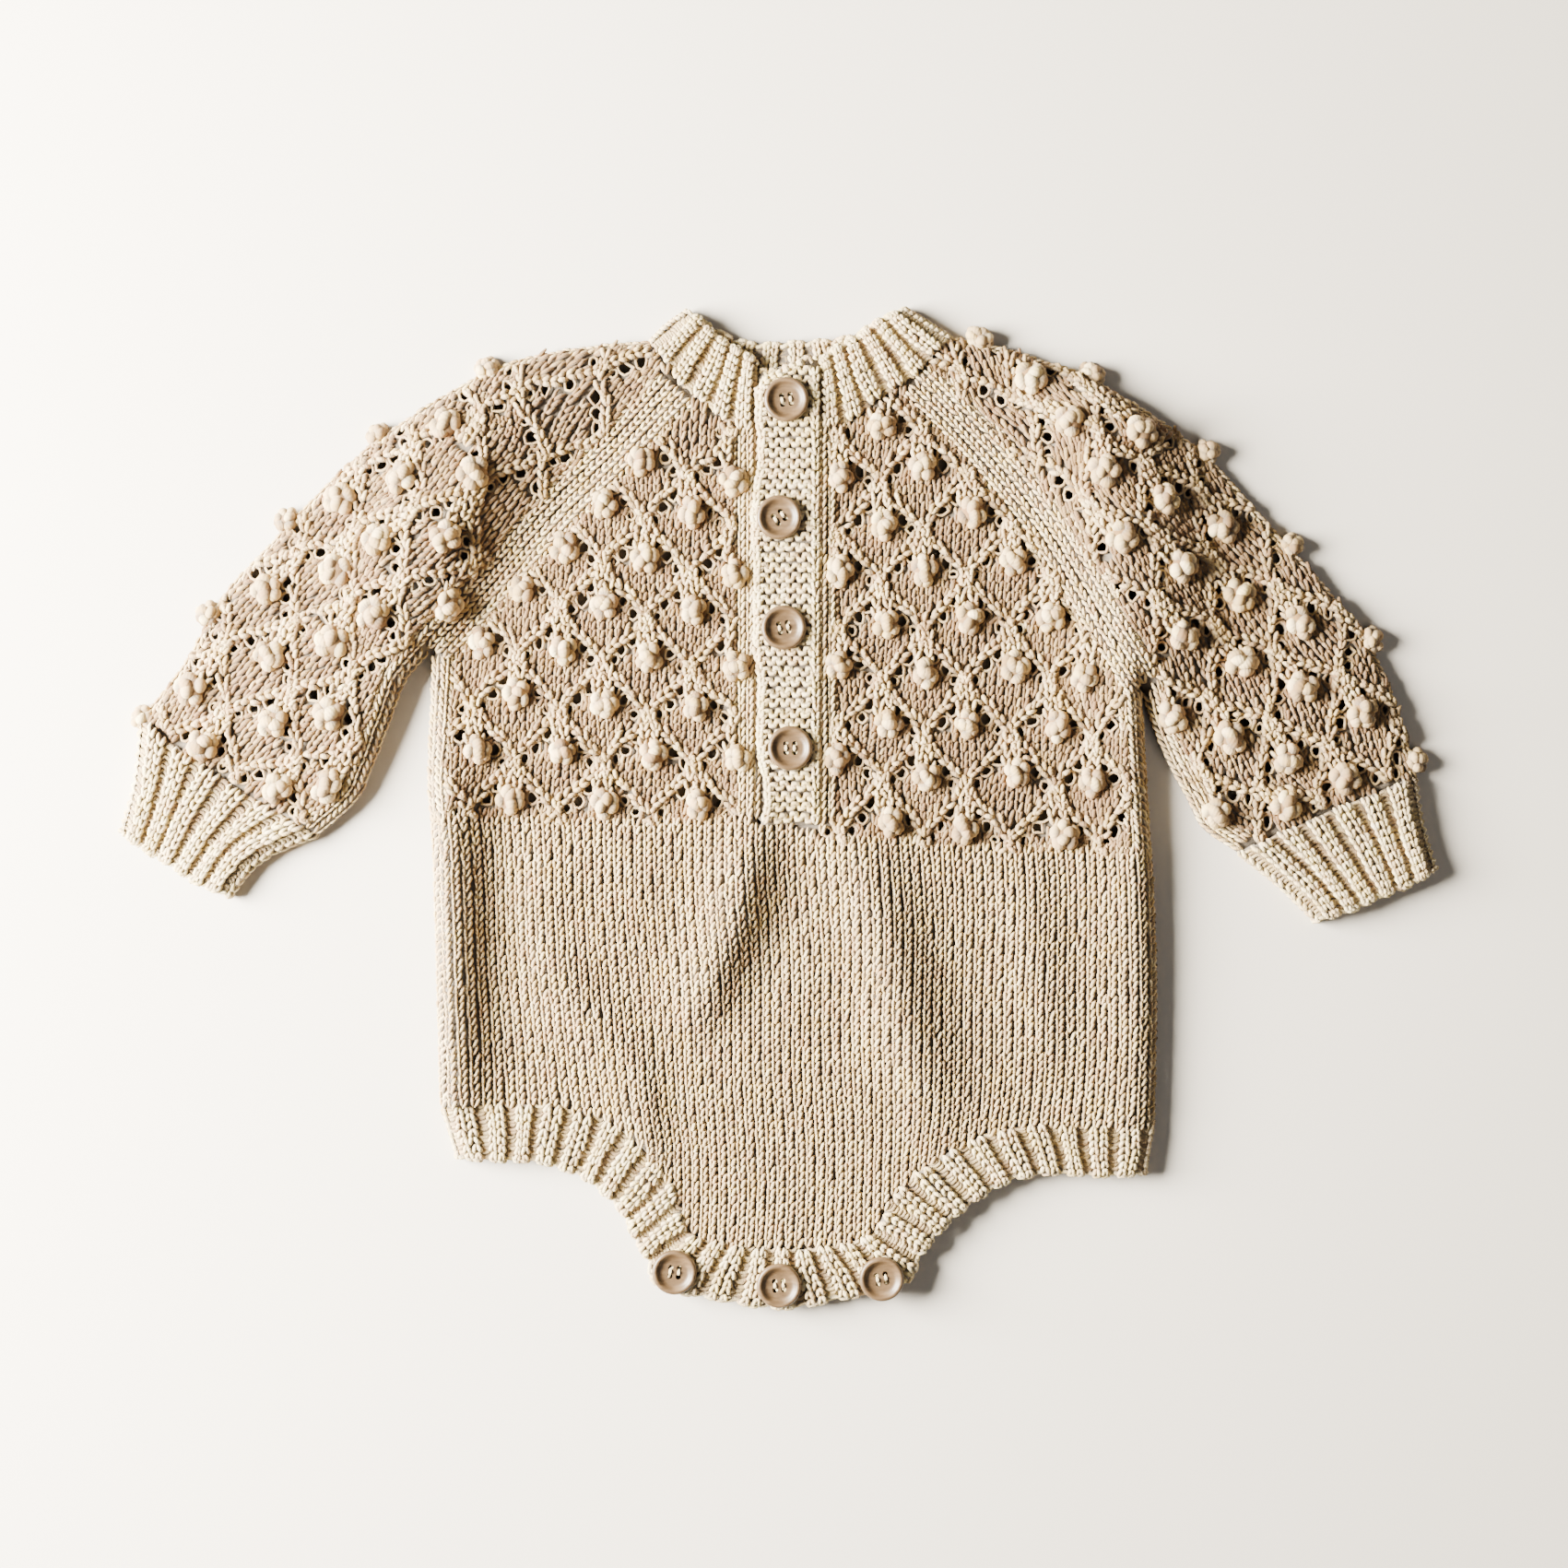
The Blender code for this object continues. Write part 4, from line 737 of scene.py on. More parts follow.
def drawBobble(yarn, lattice, spot, relief, size, outward):  # fat loops round a ball, two over its top
    rings = list(bobble["rings"])
    if outward is None:
        z, normal = readRelief(relief, spot[None])
        z, normal = z[0] + bobble["sink"], normal[0]
    else:  # one that lies on a fold stands out sideways
        size *= bobble["onFold"]
        z, normal = middle - 0.4, np.array([*(outward * 0.8), 0.6])
        rings.append(bobble["foldRing"])
    along = np.array([*(-lattice["up"] / np.linalg.norm(lattice["up"])), 0.0])
    along = unit(along - normal * (along @ normal))
    basis = np.stack([np.cross(normal, along), along, normal])
    radii = np.array([bobble["across"], bobble["along"], bobble["rise"]]) * size
    radii *= np.clip(1 + 0.06 * dice.standard_normal(3), 0.88, 1.12)
    centre, way = np.array([*spot, z]), dice.choice((-1, 1))
    steps = np.linspace(-1, 1, 6)
    for count, lean, slant in rings:
        turn = (np.arange(count) + 0.16 * dice.standard_normal(count)) * 2 * math.pi / count
        turn = turn + dice.uniform(0, 6.3)
        lean = math.radians(lean) + 0.09 * dice.standard_normal(count)
        out = np.stack([np.sin(lean) * np.cos(turn), np.sin(lean) * np.sin(turn), np.cos(lean)], axis=1)
        around = np.stack([-np.sin(turn), np.cos(turn), 0 * turn], axis=1)
        slant = way * (slant + 0.22 * dice.standard_normal(count))[:, None]
        heading = around * np.cos(slant) + np.cross(out, around) * np.sin(slant)
        width = bobble["lump"] * size * (1 + 0.08 * dice.standard_normal((count, 1)))
        reach = steps * bobble["length"] * size / 2 / radii.mean()
        reach = reach * (1 + 0.1 * dice.standard_normal((count, 1)))
        ball = out[:, None] * np.cos(reach)[..., None] + heading[:, None] * np.sin(reach)[..., None]
        push = unit(ball / radii)
        wide = width * (1 - 0.42 * steps**2)
        path = centre + (ball * radii - push * (width * (0.8 + 0.35 * steps**2))[..., None]) @ basis
        addStrands(yarn, path, push @ basis, wide, tones(count, 0.36, 0.14), 7)
    rows, sides = 6, 13
    theta, phi = np.meshgrid(np.linspace(0.05, 1.75, rows), np.linspace(0, 2 * math.pi, sides), indexing="ij")
    ball = np.stack([np.sin(theta) * np.cos(phi), np.sin(theta) * np.sin(phi), np.cos(theta)], axis=-1)
    first = np.arange(rows - 1)[:, None] * sides + np.arange(sides - 1)
    quads = np.stack([first, first + sides, first + sides + 1, first + 1], axis=-1)
    core = centre + (ball * (radii - bobble["core"])) @ basis
    # the core under the loops takes the lowest tone: painted shade in the crevices between them
    addPart(yarn, core, np.tile([0.0, 0.5, 0.0], (rows * sides, 1)), quads)


def outwardFrom(spot, line, outline):  # a place on a fold close by and the way out of it, or the spot itself
    gaps = np.linalg.norm(line - spot, axis=1)
    near = gaps.argmin()
    if gaps[near] > bobble["fold"]:
        return spot, None
    way = line[min(near + 1, len(line) - 1)] - line[max(near - 1, 0)]
    out = np.array([way[1], -way[0]]) / np.linalg.norm(way)
    out = out if (line[near] - outline.mean(axis=0)) @ out > 0 else -out
    return line[near] + out * min(bobble["stick"], (spot - line[near]) @ out), out


def triangulated(outline, points, edges=()):
    count = len(outline)
    flat = [Vector(p) for p in [*outline, *points]]
    kept = [(i + count, j + count) for i, j in edges]
    _, _, faces, origins, _, _ = delaunay_2d_cdt(flat, kept, [list(range(count))], 1, 1e-5)
    index = [source[0] for source in origins]
    return np.array([[index[v] for v in face] for face in faces if len(face) == 3])


def fillPoints(outline, rings, step, holes):  # over a panel: rings by its folds, eyelet rims, an even grid
    corners = 8
    angle = np.arange(corners) * math.pi / 4
    ring = np.stack([np.cos(angle), np.sin(angle)], axis=1)
    rims = (holes[:, None, :2] + ring * holes[:, None, 2:]).reshape(-1, 2)
    low, high = outline.min(axis=0), outline.max(axis=0)
    xs, ys = np.arange(low[0], high[0], step), np.arange(low[1], high[1], step * 0.9)
    grid = np.array([(x + (step / 2 if j % 2 else 0), y) for j, y in enumerate(ys) for x in xs])
    grid = grid[inside(grid, outline)]
    grid = grid[distance(grid, closed(outline)) > step * 0.5]
    if len(rings):
        rings = rings[inside(rings, outline)]
        rings = rings[distance(rings, closed(outline)) > 0.35]
        grid = grid[nearest(grid, rings) > step * 0.45]
    if len(rims):
        grid = grid[nearest(grid, holes[:, :2]) > 3.2]
        rings = rings[nearest(rings, holes[:, :2]) > 2.9] if len(rings) else rings
    edges = [(i + k, i + (k + 1) % corners) for i in range(0, len(rims), corners) for k in range(corners)]
    return np.vstack([rims, rings, grid]), edges


def openFaces(faces, spots, holes):  # leaves out the faces within an eyelet
    if not len(holes):
        return faces
    off = (spots[faces].mean(axis=1)[:, None] - holes[None, :, :2]) / holes[None, :, 2:]
    return faces[(off**2).sum(axis=2).min(axis=1) > 0.86]


def thicken(made, thickness):
    wall = made.modifiers.new("Thickness", "SOLIDIFY")
    wall.thickness, wall.offset, wall.use_even_offset = thickness * mm, -1, False
    return made


noRings, noHoles = np.empty((0, 2)), np.empty((0, 4))


def panelObject(name, outline, rings, holes, height, material, wall, down=False):
    spots, edges = fillPoints(outline, rings, cloth["gridStep"], holes)
    plan = np.vstack([outline, spots])
    faces = openFaces(triangulated(outline, spots, edges), plan, holes)
    if down:
        faces = faces[:, ::-1]
    return thicken(meshObject(name, np.column_stack([plan, height(plan)]), faces, material), wall)


rib = {
    "leg": 10,  # how many ribs each layer of a band has
    "cuff": 6,
    "crotch": 9,
    "neckLeft": 5,
    "neckRight": 6,
    "neckBack": 9,
    "rise": 1.7,
    "underRise": -0.2,  # on the side that lies on the floor
    "round": 1.6,  # how far in from the free edge a band curves
    "wale": 3.8,
    "pitch": 0.34,  # a wale as a share of a rib, and the places of a rib's two
    "wales": (0.33, 0.67),
    "low": 0.25,  # height of the lower layers
    "bury": 0.95,  # backing below the stitches
    "shell": 1.3,
}
bandShares = np.array([0.0, 0.2, 0.4, 0.6, 0.78, 0.9, 0.96, 1.0])  # from the join to the free edge
waists = {"cuffLeft": (1.5, 5.5), "cuffRight": (0.5, 1.5)}  # how far a band's two ends are drawn in
bands = {  # the seams that each layer is joined along, and its free edge
    "neckRight": ([("rightNeck", -1), ("rightHead", -1)],
                  [(15.6, 173.4), (22, 179.4), (31, 184.4), (40, 190.4), (49.6, 195.6)]),
    "neckLeft": ([("leftNeck", 1), ("leftHead", -1)],
                 [(-8.4, 174.6), (-17, 180), (-24, 184.8), (-30.6, 190.4), (-35.6, 194.6)]),
    "neckBack": ([("leftHead", 1), ("backNeck", -1), ("rightHead", -1)],
                 [(-35.6, 194.6), (-27, 189), (-16, 183.4), (2.6, 182), (26, 184.6), (38, 190),
                  (49.6, 195.6)]),
    "legLeft": ([("leftLeg", -1)],
                [(-50.4, -176.4), (-56, -167), (-61, -157.6), (-68, -150), (-75.4, -143.6), (-86, -140),
                 (-97, -137.4), (-111.6, -136.8), (-125.6, -136.6)]),
    "legRight": ([("rightLeg", 1)],
                 [(55, -174.6), (61.4, -166.4), (70, -158.4), (80, -150.8), (90.6, -144.6), (102, -142.8),
                  (115, -142.4), (128, -142.8), (143.6, -142.8)]),
    "cuffLeft": ([("leftCuff", 1)], [(-257.4, -9.6), (-244, -18.4), (-230.6, -27), (-214.6, -35)]),
    "cuffRight": ([("rightCuff", 1)], [(257.6, -24), (243, -31.6), (226.6, -38.6), (210.4, -44.6)]),
    "crotch": ([("crotch", 1)], [(-50.6, -177.4), (-46, -186), (-24, -191.4), (0.6, -194.4), (26, -191),
                                 (47, -186.4), (55.4, -175.4)]),
}


def bandLines(name):  # the joined edge of a band's layer and its free edge
    seamsOf, free = bands[name]
    runs = [seam(part, 1.0, way) for part, way in seamsOf]
    return np.concatenate([*(run[:-1] for run in runs[:-1]), runs[-1]]), curve(free, 1.0)


def ribWave(cell):  # 1 on the two knit wales of a rib, 0 in the purl trough
    return np.clip((0.41 - np.abs(cell % 1 - 0.5)) / 0.13, 0, 1) ** 1.2


def swayOf(cell):  # the ribs wander a little
    return 0.7 * np.sin(cell * 2.1) + 0.4 * np.sin(cell * 4.7)


def layerRings(name, ribs, trims, level, sign, lift=None):  # one flat layer, as rings across the band
    lines = bandLines(name)
    share = np.linspace(0, 1, ribs * 8 + 1)
    joins, frees = (atLength(line, trims[0] + share * (lengths(line)[-1] - sum(trims))) for line in lines)
    cell = share * ribs
    bow = 1.3 * (ribWave(cell) - 0.55) + 0.3 * np.sin(cell * 1.7)
    frees = frees + unit(frees - joins) * bow[:, None]
    plan = joins[:, None] * (1 - bandShares)[:, None] + frees[:, None] * bandShares[:, None]
    start, end = waists.get(name, (0.0, 0.0))
    draw = start * (1 - share) ** 2 - end * share**2 + swayOf(cell)
    around = unit(np.gradient(joins, axis=0))
    plan = plan + around[:, None] * (draw[:, None] * np.sin(math.pi * bandShares) ** 1.2)[..., None]
    off = np.linalg.norm(frees - joins, axis=1)[:, None] * (1 - bandShares)
    edge = rounded(off, rib["round"])
    z = middle + (level - middle) * (0.55 + 0.45 * edge)
    z += sign * rib["rise"] * ribWave(cell)[:, None] * edge * (off > 0.01)
    if lift is not None:
        z = z + lift(plan.reshape(-1, 2)).reshape(z.shape)
    return cell, np.concatenate([plan, z[..., None]], axis=2)


def foldRings(name, start, atStart=False):  # the fold at a band's end, round the middle height
    lines = bandLines(name)
    cell, rings = [], []
    for k, angle in enumerate(np.linspace(math.pi / 2, -math.pi / 2, 13)[1:-1]):
        place = start + (k + 1) / 12
        radius = middle + rib["rise"] * 0.5 * ribWave(np.array(place)) * max(math.sin(angle), 0)
        radius -= 0.25 * (math.sin(angle) < 0)
        off = middle - min(radius, middle) * math.cos(angle)
        join, free = (atLength(line, [off if atStart else lengths(line)[-1] - off])[0] for line in lines)
        plan = join + (free - join) * bandShares[:, None]
        nextJoin = atLength(lines[0], [off + 0.5 if atStart else lengths(lines[0])[-1] - off - 0.5])[0]
        around = unit(nextJoin - join) * (1 if atStart else -1)
        ends = waists.get(name, (0.0, 0.0))
        draw = (ends[0] if atStart else -ends[1]) + swayOf(place)
        plan = plan + around * (draw * np.sin(math.pi * bandShares) ** 1.2)[:, None]
        edge = rounded(np.linalg.norm(free - join) * (1 - bandShares), rib["round"])
        cell.append(place)
        rings.append(np.column_stack([plan, middle + radius * math.sin(angle) * (0.55 + 0.45 * edge)]))
    return np.array(cell), np.array(rings)


def turnedBack(run, end):  # a run that comes back from the far end of a band
    return end - run[0][::-1], run[1][::-1]


def bandSurface(*runs, faceDown=False):  # joins runs of rings; gives a reader of place and outward normal
    cells = np.concatenate([run[0] for run in runs])
    rings = np.concatenate([run[1] for run in runs])
    keep = np.concatenate([[True], np.diff(cells) > 1e-6])
    cells, rings = cells[keep], rings[keep]
    normal = unit(np.cross(np.gradient(rings, axis=0), np.gradient(rings, axis=1)))
    sign = 1.0 if normal[: len(cells) // 4, 2, 2].mean() > 0 else -1.0
    sign = -sign if faceDown else sign
    both = np.concatenate([rings, normal * sign], axis=2)

    def at(cell, share):
        i = np.clip(np.searchsorted(cells, cell, side="right") - 1, 0, len(cells) - 2)
        j = np.clip(np.searchsorted(bandShares, share, side="right") - 1, 0, len(bandShares) - 2)
        a = ((cell - cells[i]) / (cells[i + 1] - cells[i]))[:, None]
        b = ((share - bandShares[j]) / (bandShares[j + 1] - bandShares[j]))[:, None]
        a, b = np.clip(a, 0, 1), np.clip(b, -0.4, 1.2)
        mixed = (both[i, j] * (1 - a) + both[i + 1, j] * a) * (1 - b)
        mixed += (both[i, j + 1] * (1 - a) + both[i + 1, j + 1] * a) * b
        return mixed[:, :3], unit(mixed[:, 3:])
    return cells, sign, at


def bandObject(name, surface, cyclic):
    cells, sign, at = surface
    rows, count = len(bandShares), len(cells)
    place, normal = at(np.repeat(cells, rows), np.tile(bandShares, count))
    place = place - normal * rib["bury"]
    place[:, 2] = np.maximum(place[:, 2], 0.3)
    i = np.arange(count if cyclic else count - 1)[:, None]
    a, b = i * rows + np.arange(rows - 1), (i + 1) % count * rows + np.arange(rows - 1)
    faces = np.stack([a, b, b + 1, a + 1], axis=-1).reshape(-1, 4)
    if sign < 0:
        faces = faces[:, ::-1]
    return thicken(meshObject(name, place, faces, shadedBandBacking), rib["shell"])


castEdge = np.array([(-0.1, 0.2, -0.3, 0.6), (0.3, 0.3, 0.35, 1.0), (0.8, 0.75, 0.35, 1.0),
                     (1.25, 0.8, -0.3, 0.6)])  # the slanting strands of a cast edge, as in legs


def bandStitches(yarn, surface, span, rows, towardsFree=True, fine=True):  # two knit wales a rib, then purl
    at = surface[2]
    pitch, (first, last) = rib["pitch"], span

    def read(spots):
        share = spots[:, 1] / rows
        return at(spots[:, 0] * pitch, share if towardsFree else 1 - share)

    def edge(spots):
        return at(spots[:, 0] * pitch, np.full(len(spots), 0.975) - 0.03 * (spots[:, 1] - 0.5))

    columns = np.array([k + part for k in range(math.floor(first), math.ceil(last)) for part in rib["wales"]])
    columns = columns[(columns > first + 0.05) & (columns < last - 0.05)]
    cells = np.array([(c / pitch, v) for c in columns for v in range(rows)])
    knit(yarn, read, cells, rib["wale"], lift=0.1, fine=fine, base=0.5, wobble=0.05, style="open", full=0.26)
    troughs = [k for k in range(math.floor(first), math.ceil(last) + 1) if first - 0.01 <= k <= last + 0.01]
    halves = (0.0, 0.5) if fine else (0.0,)
    cells = np.array([(k / pitch, v + part) for k in troughs for v in range(rows) for part in halves])
    # the purl caps in each trough take a low tone (0.22): painted shade in the trough
    stitch(yarn, read, cells, "cap", rib["wale"] * 0.25, -0.6, fine, 0.22, 0.05)
    own = np.arange((last - first) / pitch) + first / pitch
    chain(yarn, edge, np.column_stack([own, np.zeros(len(own))]), castEdge, rib["wale"] * 0.26)


slotTop = 147.0  # the opening down the front, for the placket
slotLow, slotHigh, slotFoot = -7.9, 15.1, -5.8
slot = np.array([(slotHigh, slotTop), (slotHigh, slotFoot), (slotLow, slotFoot), (slotLow, slotTop)])
half = cloth["seamGap"] / 2


def bodyOutline(*neck):
    sides = [seam(name) for name in ("leftSide", "leftLeg", "crotch", "rightLeg", "rightSide", "rightRaglan")]
    return shrunk(joined(*sides, *neck, seam("leftRaglan")), half)


frontOutline = bodyOutline(seam("rightNeck"), slot, seam("leftNeck"))
backOutline = bodyOutline(seam("backNeck"))
leftSideLine, rightSideLine = seam("leftSide"), seam("rightSide")
raglans = {"left": seam("leftRaglan"), "right": seam("rightRaglan")}
raglanEdge = {"wale": 3.7, "columns": [(0.5, 0.45), (1.5, 0.5), (2.35, -0.3)]}  # wales in from the seam, lift
raglanWidth = 2.0 * raglanEdge["wale"]
edgeRow = 3.1


def columnsAlong(yarn, relief, outline, line, sign, columns, wale, base=0.48, clear=None, style="plain"):
    place = besideLine(line, wale, edgeRow)
    count = int(lengths(line)[-1] / edgeRow)
    for column, lift in columns:
        cells = np.column_stack([np.full(count, column * sign), np.arange(count)])
        centres = place(cells + (0, halfUp))
        fits = inside(centres, outline)
        if clear is not None:
            fits &= clear(centres)
        knit(yarn, onRelief(relief, place), cells[fits], wale, lift=lift, base=base, style=style)


def offSides(points):
    return np.minimum(distance(points, leftSideLine), distance(points, rightSideLine))


def frontHeight(points):
    side = middle + half
    return side + (frontTop + foldRise(points) - side) * rounded(offSides(points), cloth["sideRound"])


def backHeight(points):
    return (middle - half) * (1 - rounded(offSides(points), cloth["underRound"]))


frontRelief, backRelief = reliefOf(frontHeight, frontOutline), reliefOf(backHeight, backOutline)
print("reliefs ready")

frontLace = {"bobble": 1.02, "wale": 3.4, "perHalf": 5, "rowsPerHalf": 6}  # wales and rows in half a repeat
yoke = {
    "foot": [(-137, -3), (-31, -5), (-8, -5), (15, -11), (44, -12.4), (73, -15.4), (112, -17), (148, -17)],
    "middle": 3.6,  # the two halves' lace meets here, under the placket
    "neckRoom": 1.2,  # kept clear of the lace: along the neck, beside and below the slot, along the sides
    "slotRoom": (-16.4, 20.2),
    "slotFoot": -9,
    "sideRoom": 7.0,
    "wale": 3.9,
    "sideColumns": [(0.3, 0.35), (1.25, 0.35), (2.1, -0.3)],
}
placketSides = {  # plain columns beside the placket
    "wale": 3.4,
    "columns": [(-17.4, -2, 146, -0.3), (-14.1, -6, 150, 0.6), (-10.9, -6, 148, 0.6), (-8.3, -6, 146, -0.2),
                (17.6, -12, 150, 2.0), (20.9, -6, 147, 1.2)],  # x, y from and to, lift
}


def yokeFoot(x):
    return np.interp(x, *zip(*yoke["foot"]))


def frontKeep(points, room=0.0):  # clear of the raglan columns, the placket and the side folds
    raglan = np.minimum(distance(points, raglans["left"]), distance(points, raglans["right"]))
    neck = np.minimum(distance(points, seam("leftNeck")), distance(points, seam("rightNeck")))
    x, y = points.T
    left, right = yoke["slotRoom"]
    offSlot = (x < left - room) | (x > right + room) | (y < yoke["slotFoot"])
    offFold = offSides(points) > yoke["sideRoom"] + room * 0.8
    return (raglan > raglanWidth + room) & (neck > yoke["neckRoom"] + room) & offSlot & offFold


yokeYarn, bobbleYarn, bodyYarn = newYarn(), newYarn(), newYarn()
holes = []
for name, sign in (("frontLeft", -1), ("frontRight", 1)):
    def fits(points, room, sign=sign):
        ownSide = (points[:, 0] - yoke["middle"]) * sign > 0
        return frontKeep(points, room) & (points[:, 1] > yokeFoot(points[:, 0]) - 0.8) & ownSide

    holes.append(drawLace(yokeYarn, bobbleYarn, name, frontLace, frontRelief, frontOutline, fits))
frontHoles = np.concatenate(holes)
for side, way in (("left", -1), ("right", 1)):  # smooth columns by each raglan, the last sunk under the lace
    columnsAlong(yokeYarn, frontRelief, frontOutline, raglans[side][::way], way, raglanEdge["columns"],
                 raglanEdge["wale"], base=0.5, style="open")
for name, way in (("leftSide", -1), ("rightSide", 1)):
    columnsAlong(yokeYarn, frontRelief, frontOutline, seam(name, 3.0, way), way, yoke["sideColumns"],
                 yoke["wale"], clear=lambda p: p[:, 1] > yokeFoot(p[:, 0]) - 1)
for x, y0, y1, lift in placketSides["columns"]:
    def columnPlace(spots, x=x):
        return np.column_stack([x + spots[:, 0] * placketSides["wale"], spots[:, 1] * edgeRow])
    first = math.ceil(y0 / edgeRow)
    cells = np.column_stack([np.zeros(60), np.arange(first, first + 60)])
    cells = cells[cells[:, 1] * edgeRow < y1]
    knit(yokeYarn, onRelief(frontRelief, columnPlace), cells, 3.5, lift=lift, base=0.52)
print("yoke stitches ready")

pulls = [(-75, 38, -70, 7), (85, 40, -80, -5)]  # where the leg bands pull: x, width, y from, how far


def bodyPlace(spots):  # wales spread from one side fold to the other, drawn aside where the leg bands pull
    y = spots[:, 1] * stockinette["row"]
    left = np.interp(y, leftSideLine[::-1, 1], leftSideLine[::-1, 0]) - 0.8
    right = np.interp(y, rightSideLine[:, 1], rightSideLine[:, 0]) + 0.8
    share = spots[:, 0] / stockinette["wales"]
    x = left + (right - left) * share
    drawn = sum(np.exp(-(((x - at) / width) ** 2)) * np.clip((start - y) / 60, 0, 1) ** 2 * reach
                for at, width, start, reach in pulls)
    sway = 0.8 * np.sin(y / 31 + x / 57) + 0.5 * np.sin(y / 13 - x / 41)
    aside = (drawn + sway) * np.clip(12 * share * (1 - share), 0, 1)  # not at the side folds
    return np.column_stack([x + aside, y + 0.7 * np.sin(x / 37)])


bodyWale = (rightSideLine[:, 0].max() - leftSideLine[:, 0].min()) / stockinette["wales"]
cells = cellsOver((0, stockinette["wales"]), (-66, 3)) + (0.5, 0)
centres = bodyPlace(cells + (0, halfUp))
x, y = centres.T
fits = inside(centres, frontOutline) & (y <= yokeFoot(x) + 1.5)
fits &= ~((x > slotLow) & (x < slotHigh) & (y > slotFoot))
fits &= ~((y > -12) & (x > slotHigh) & (x < 19.5))  # the placket's first side column is there
knit(bodyYarn, onRelief(frontRelief, bodyPlace), cells[fits], bodyWale, wobble=0.045)
print("body stitches ready")

backYarn = newYarn()
cells = cellsOver((0, stockinette["wales"]), (-66, 66)) + (0.5, 0)
fits = inside(bodyPlace(cells + (0, halfUp)), backOutline)
knit(backYarn, onRelief(backRelief, bodyPlace, down=True), cells[fits], bodyWale, lift=-0.5, fine=False,
     full=0.25)
print("back stitches ready")

sideRings = np.concatenate([beside(seam(name, 6.0), off) for name in ("leftSide", "rightSide")
                            for off in cloth["gridRings"]])
frontShell = panelObject("frontCloth", frontOutline, sideRings, frontHoles,
                         lambda p: frontHeight(p) - cloth["bury"], shadedBacking, cloth["shell"])
backShell = panelObject("backCloth", backOutline, sideRings, noHoles,
                        lambda p: np.maximum(backHeight(p) + cloth["backBury"], cloth["backBury"]),
                        innerCloth, cloth["backShell"], down=True)
yarnObject("frontYokeStitches", yokeYarn, cottonYarn)
yarnObject("frontBobbles", bobbleYarn, cottonYarn)
yarnObject("frontBodyStitches", bodyYarn, cottonYarn)
yarnObject("backStitches", backYarn, cottonYarn)
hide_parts("front")
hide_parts("back")

sleeveLace = {"bobble": 1.12, "wale": 3.63, "row": 3.5, "perHalf": 4, "rowsPerHalf": 6}
underColumns = [(0.45, 0.3), (1.4, 0.3), (2.2, -0.3)]  # along a sleeve's inner fold


def sleeveEdges(side):  # outline, folds and open ends, and where along the outline each starts
    parts = ("Top", "Under", "Cuff", "Raglan", "Head")
    top, under, cuff, raglan, head = (seam(side + part) for part in parts)
    if side == "left":
        lines = [top, cuff, under, np.concatenate([raglan[::-1][:-1], head[::-1]])]
    else:
        lines = [under[::-1], cuff[::-1], top[::-1], np.concatenate([head[:-1], raglan[::-1]])]
    outline = shrunk(joined(*lines), half)
    at = np.cumsum([0] + [len(line) - 1 for line in lines])
    lines = [closed(outline)[a : b + 1] for a, b in zip(at[:-1], at[1:])]
    return outline, (lines[0], lines[2]), (lines[1], lines[3]), at


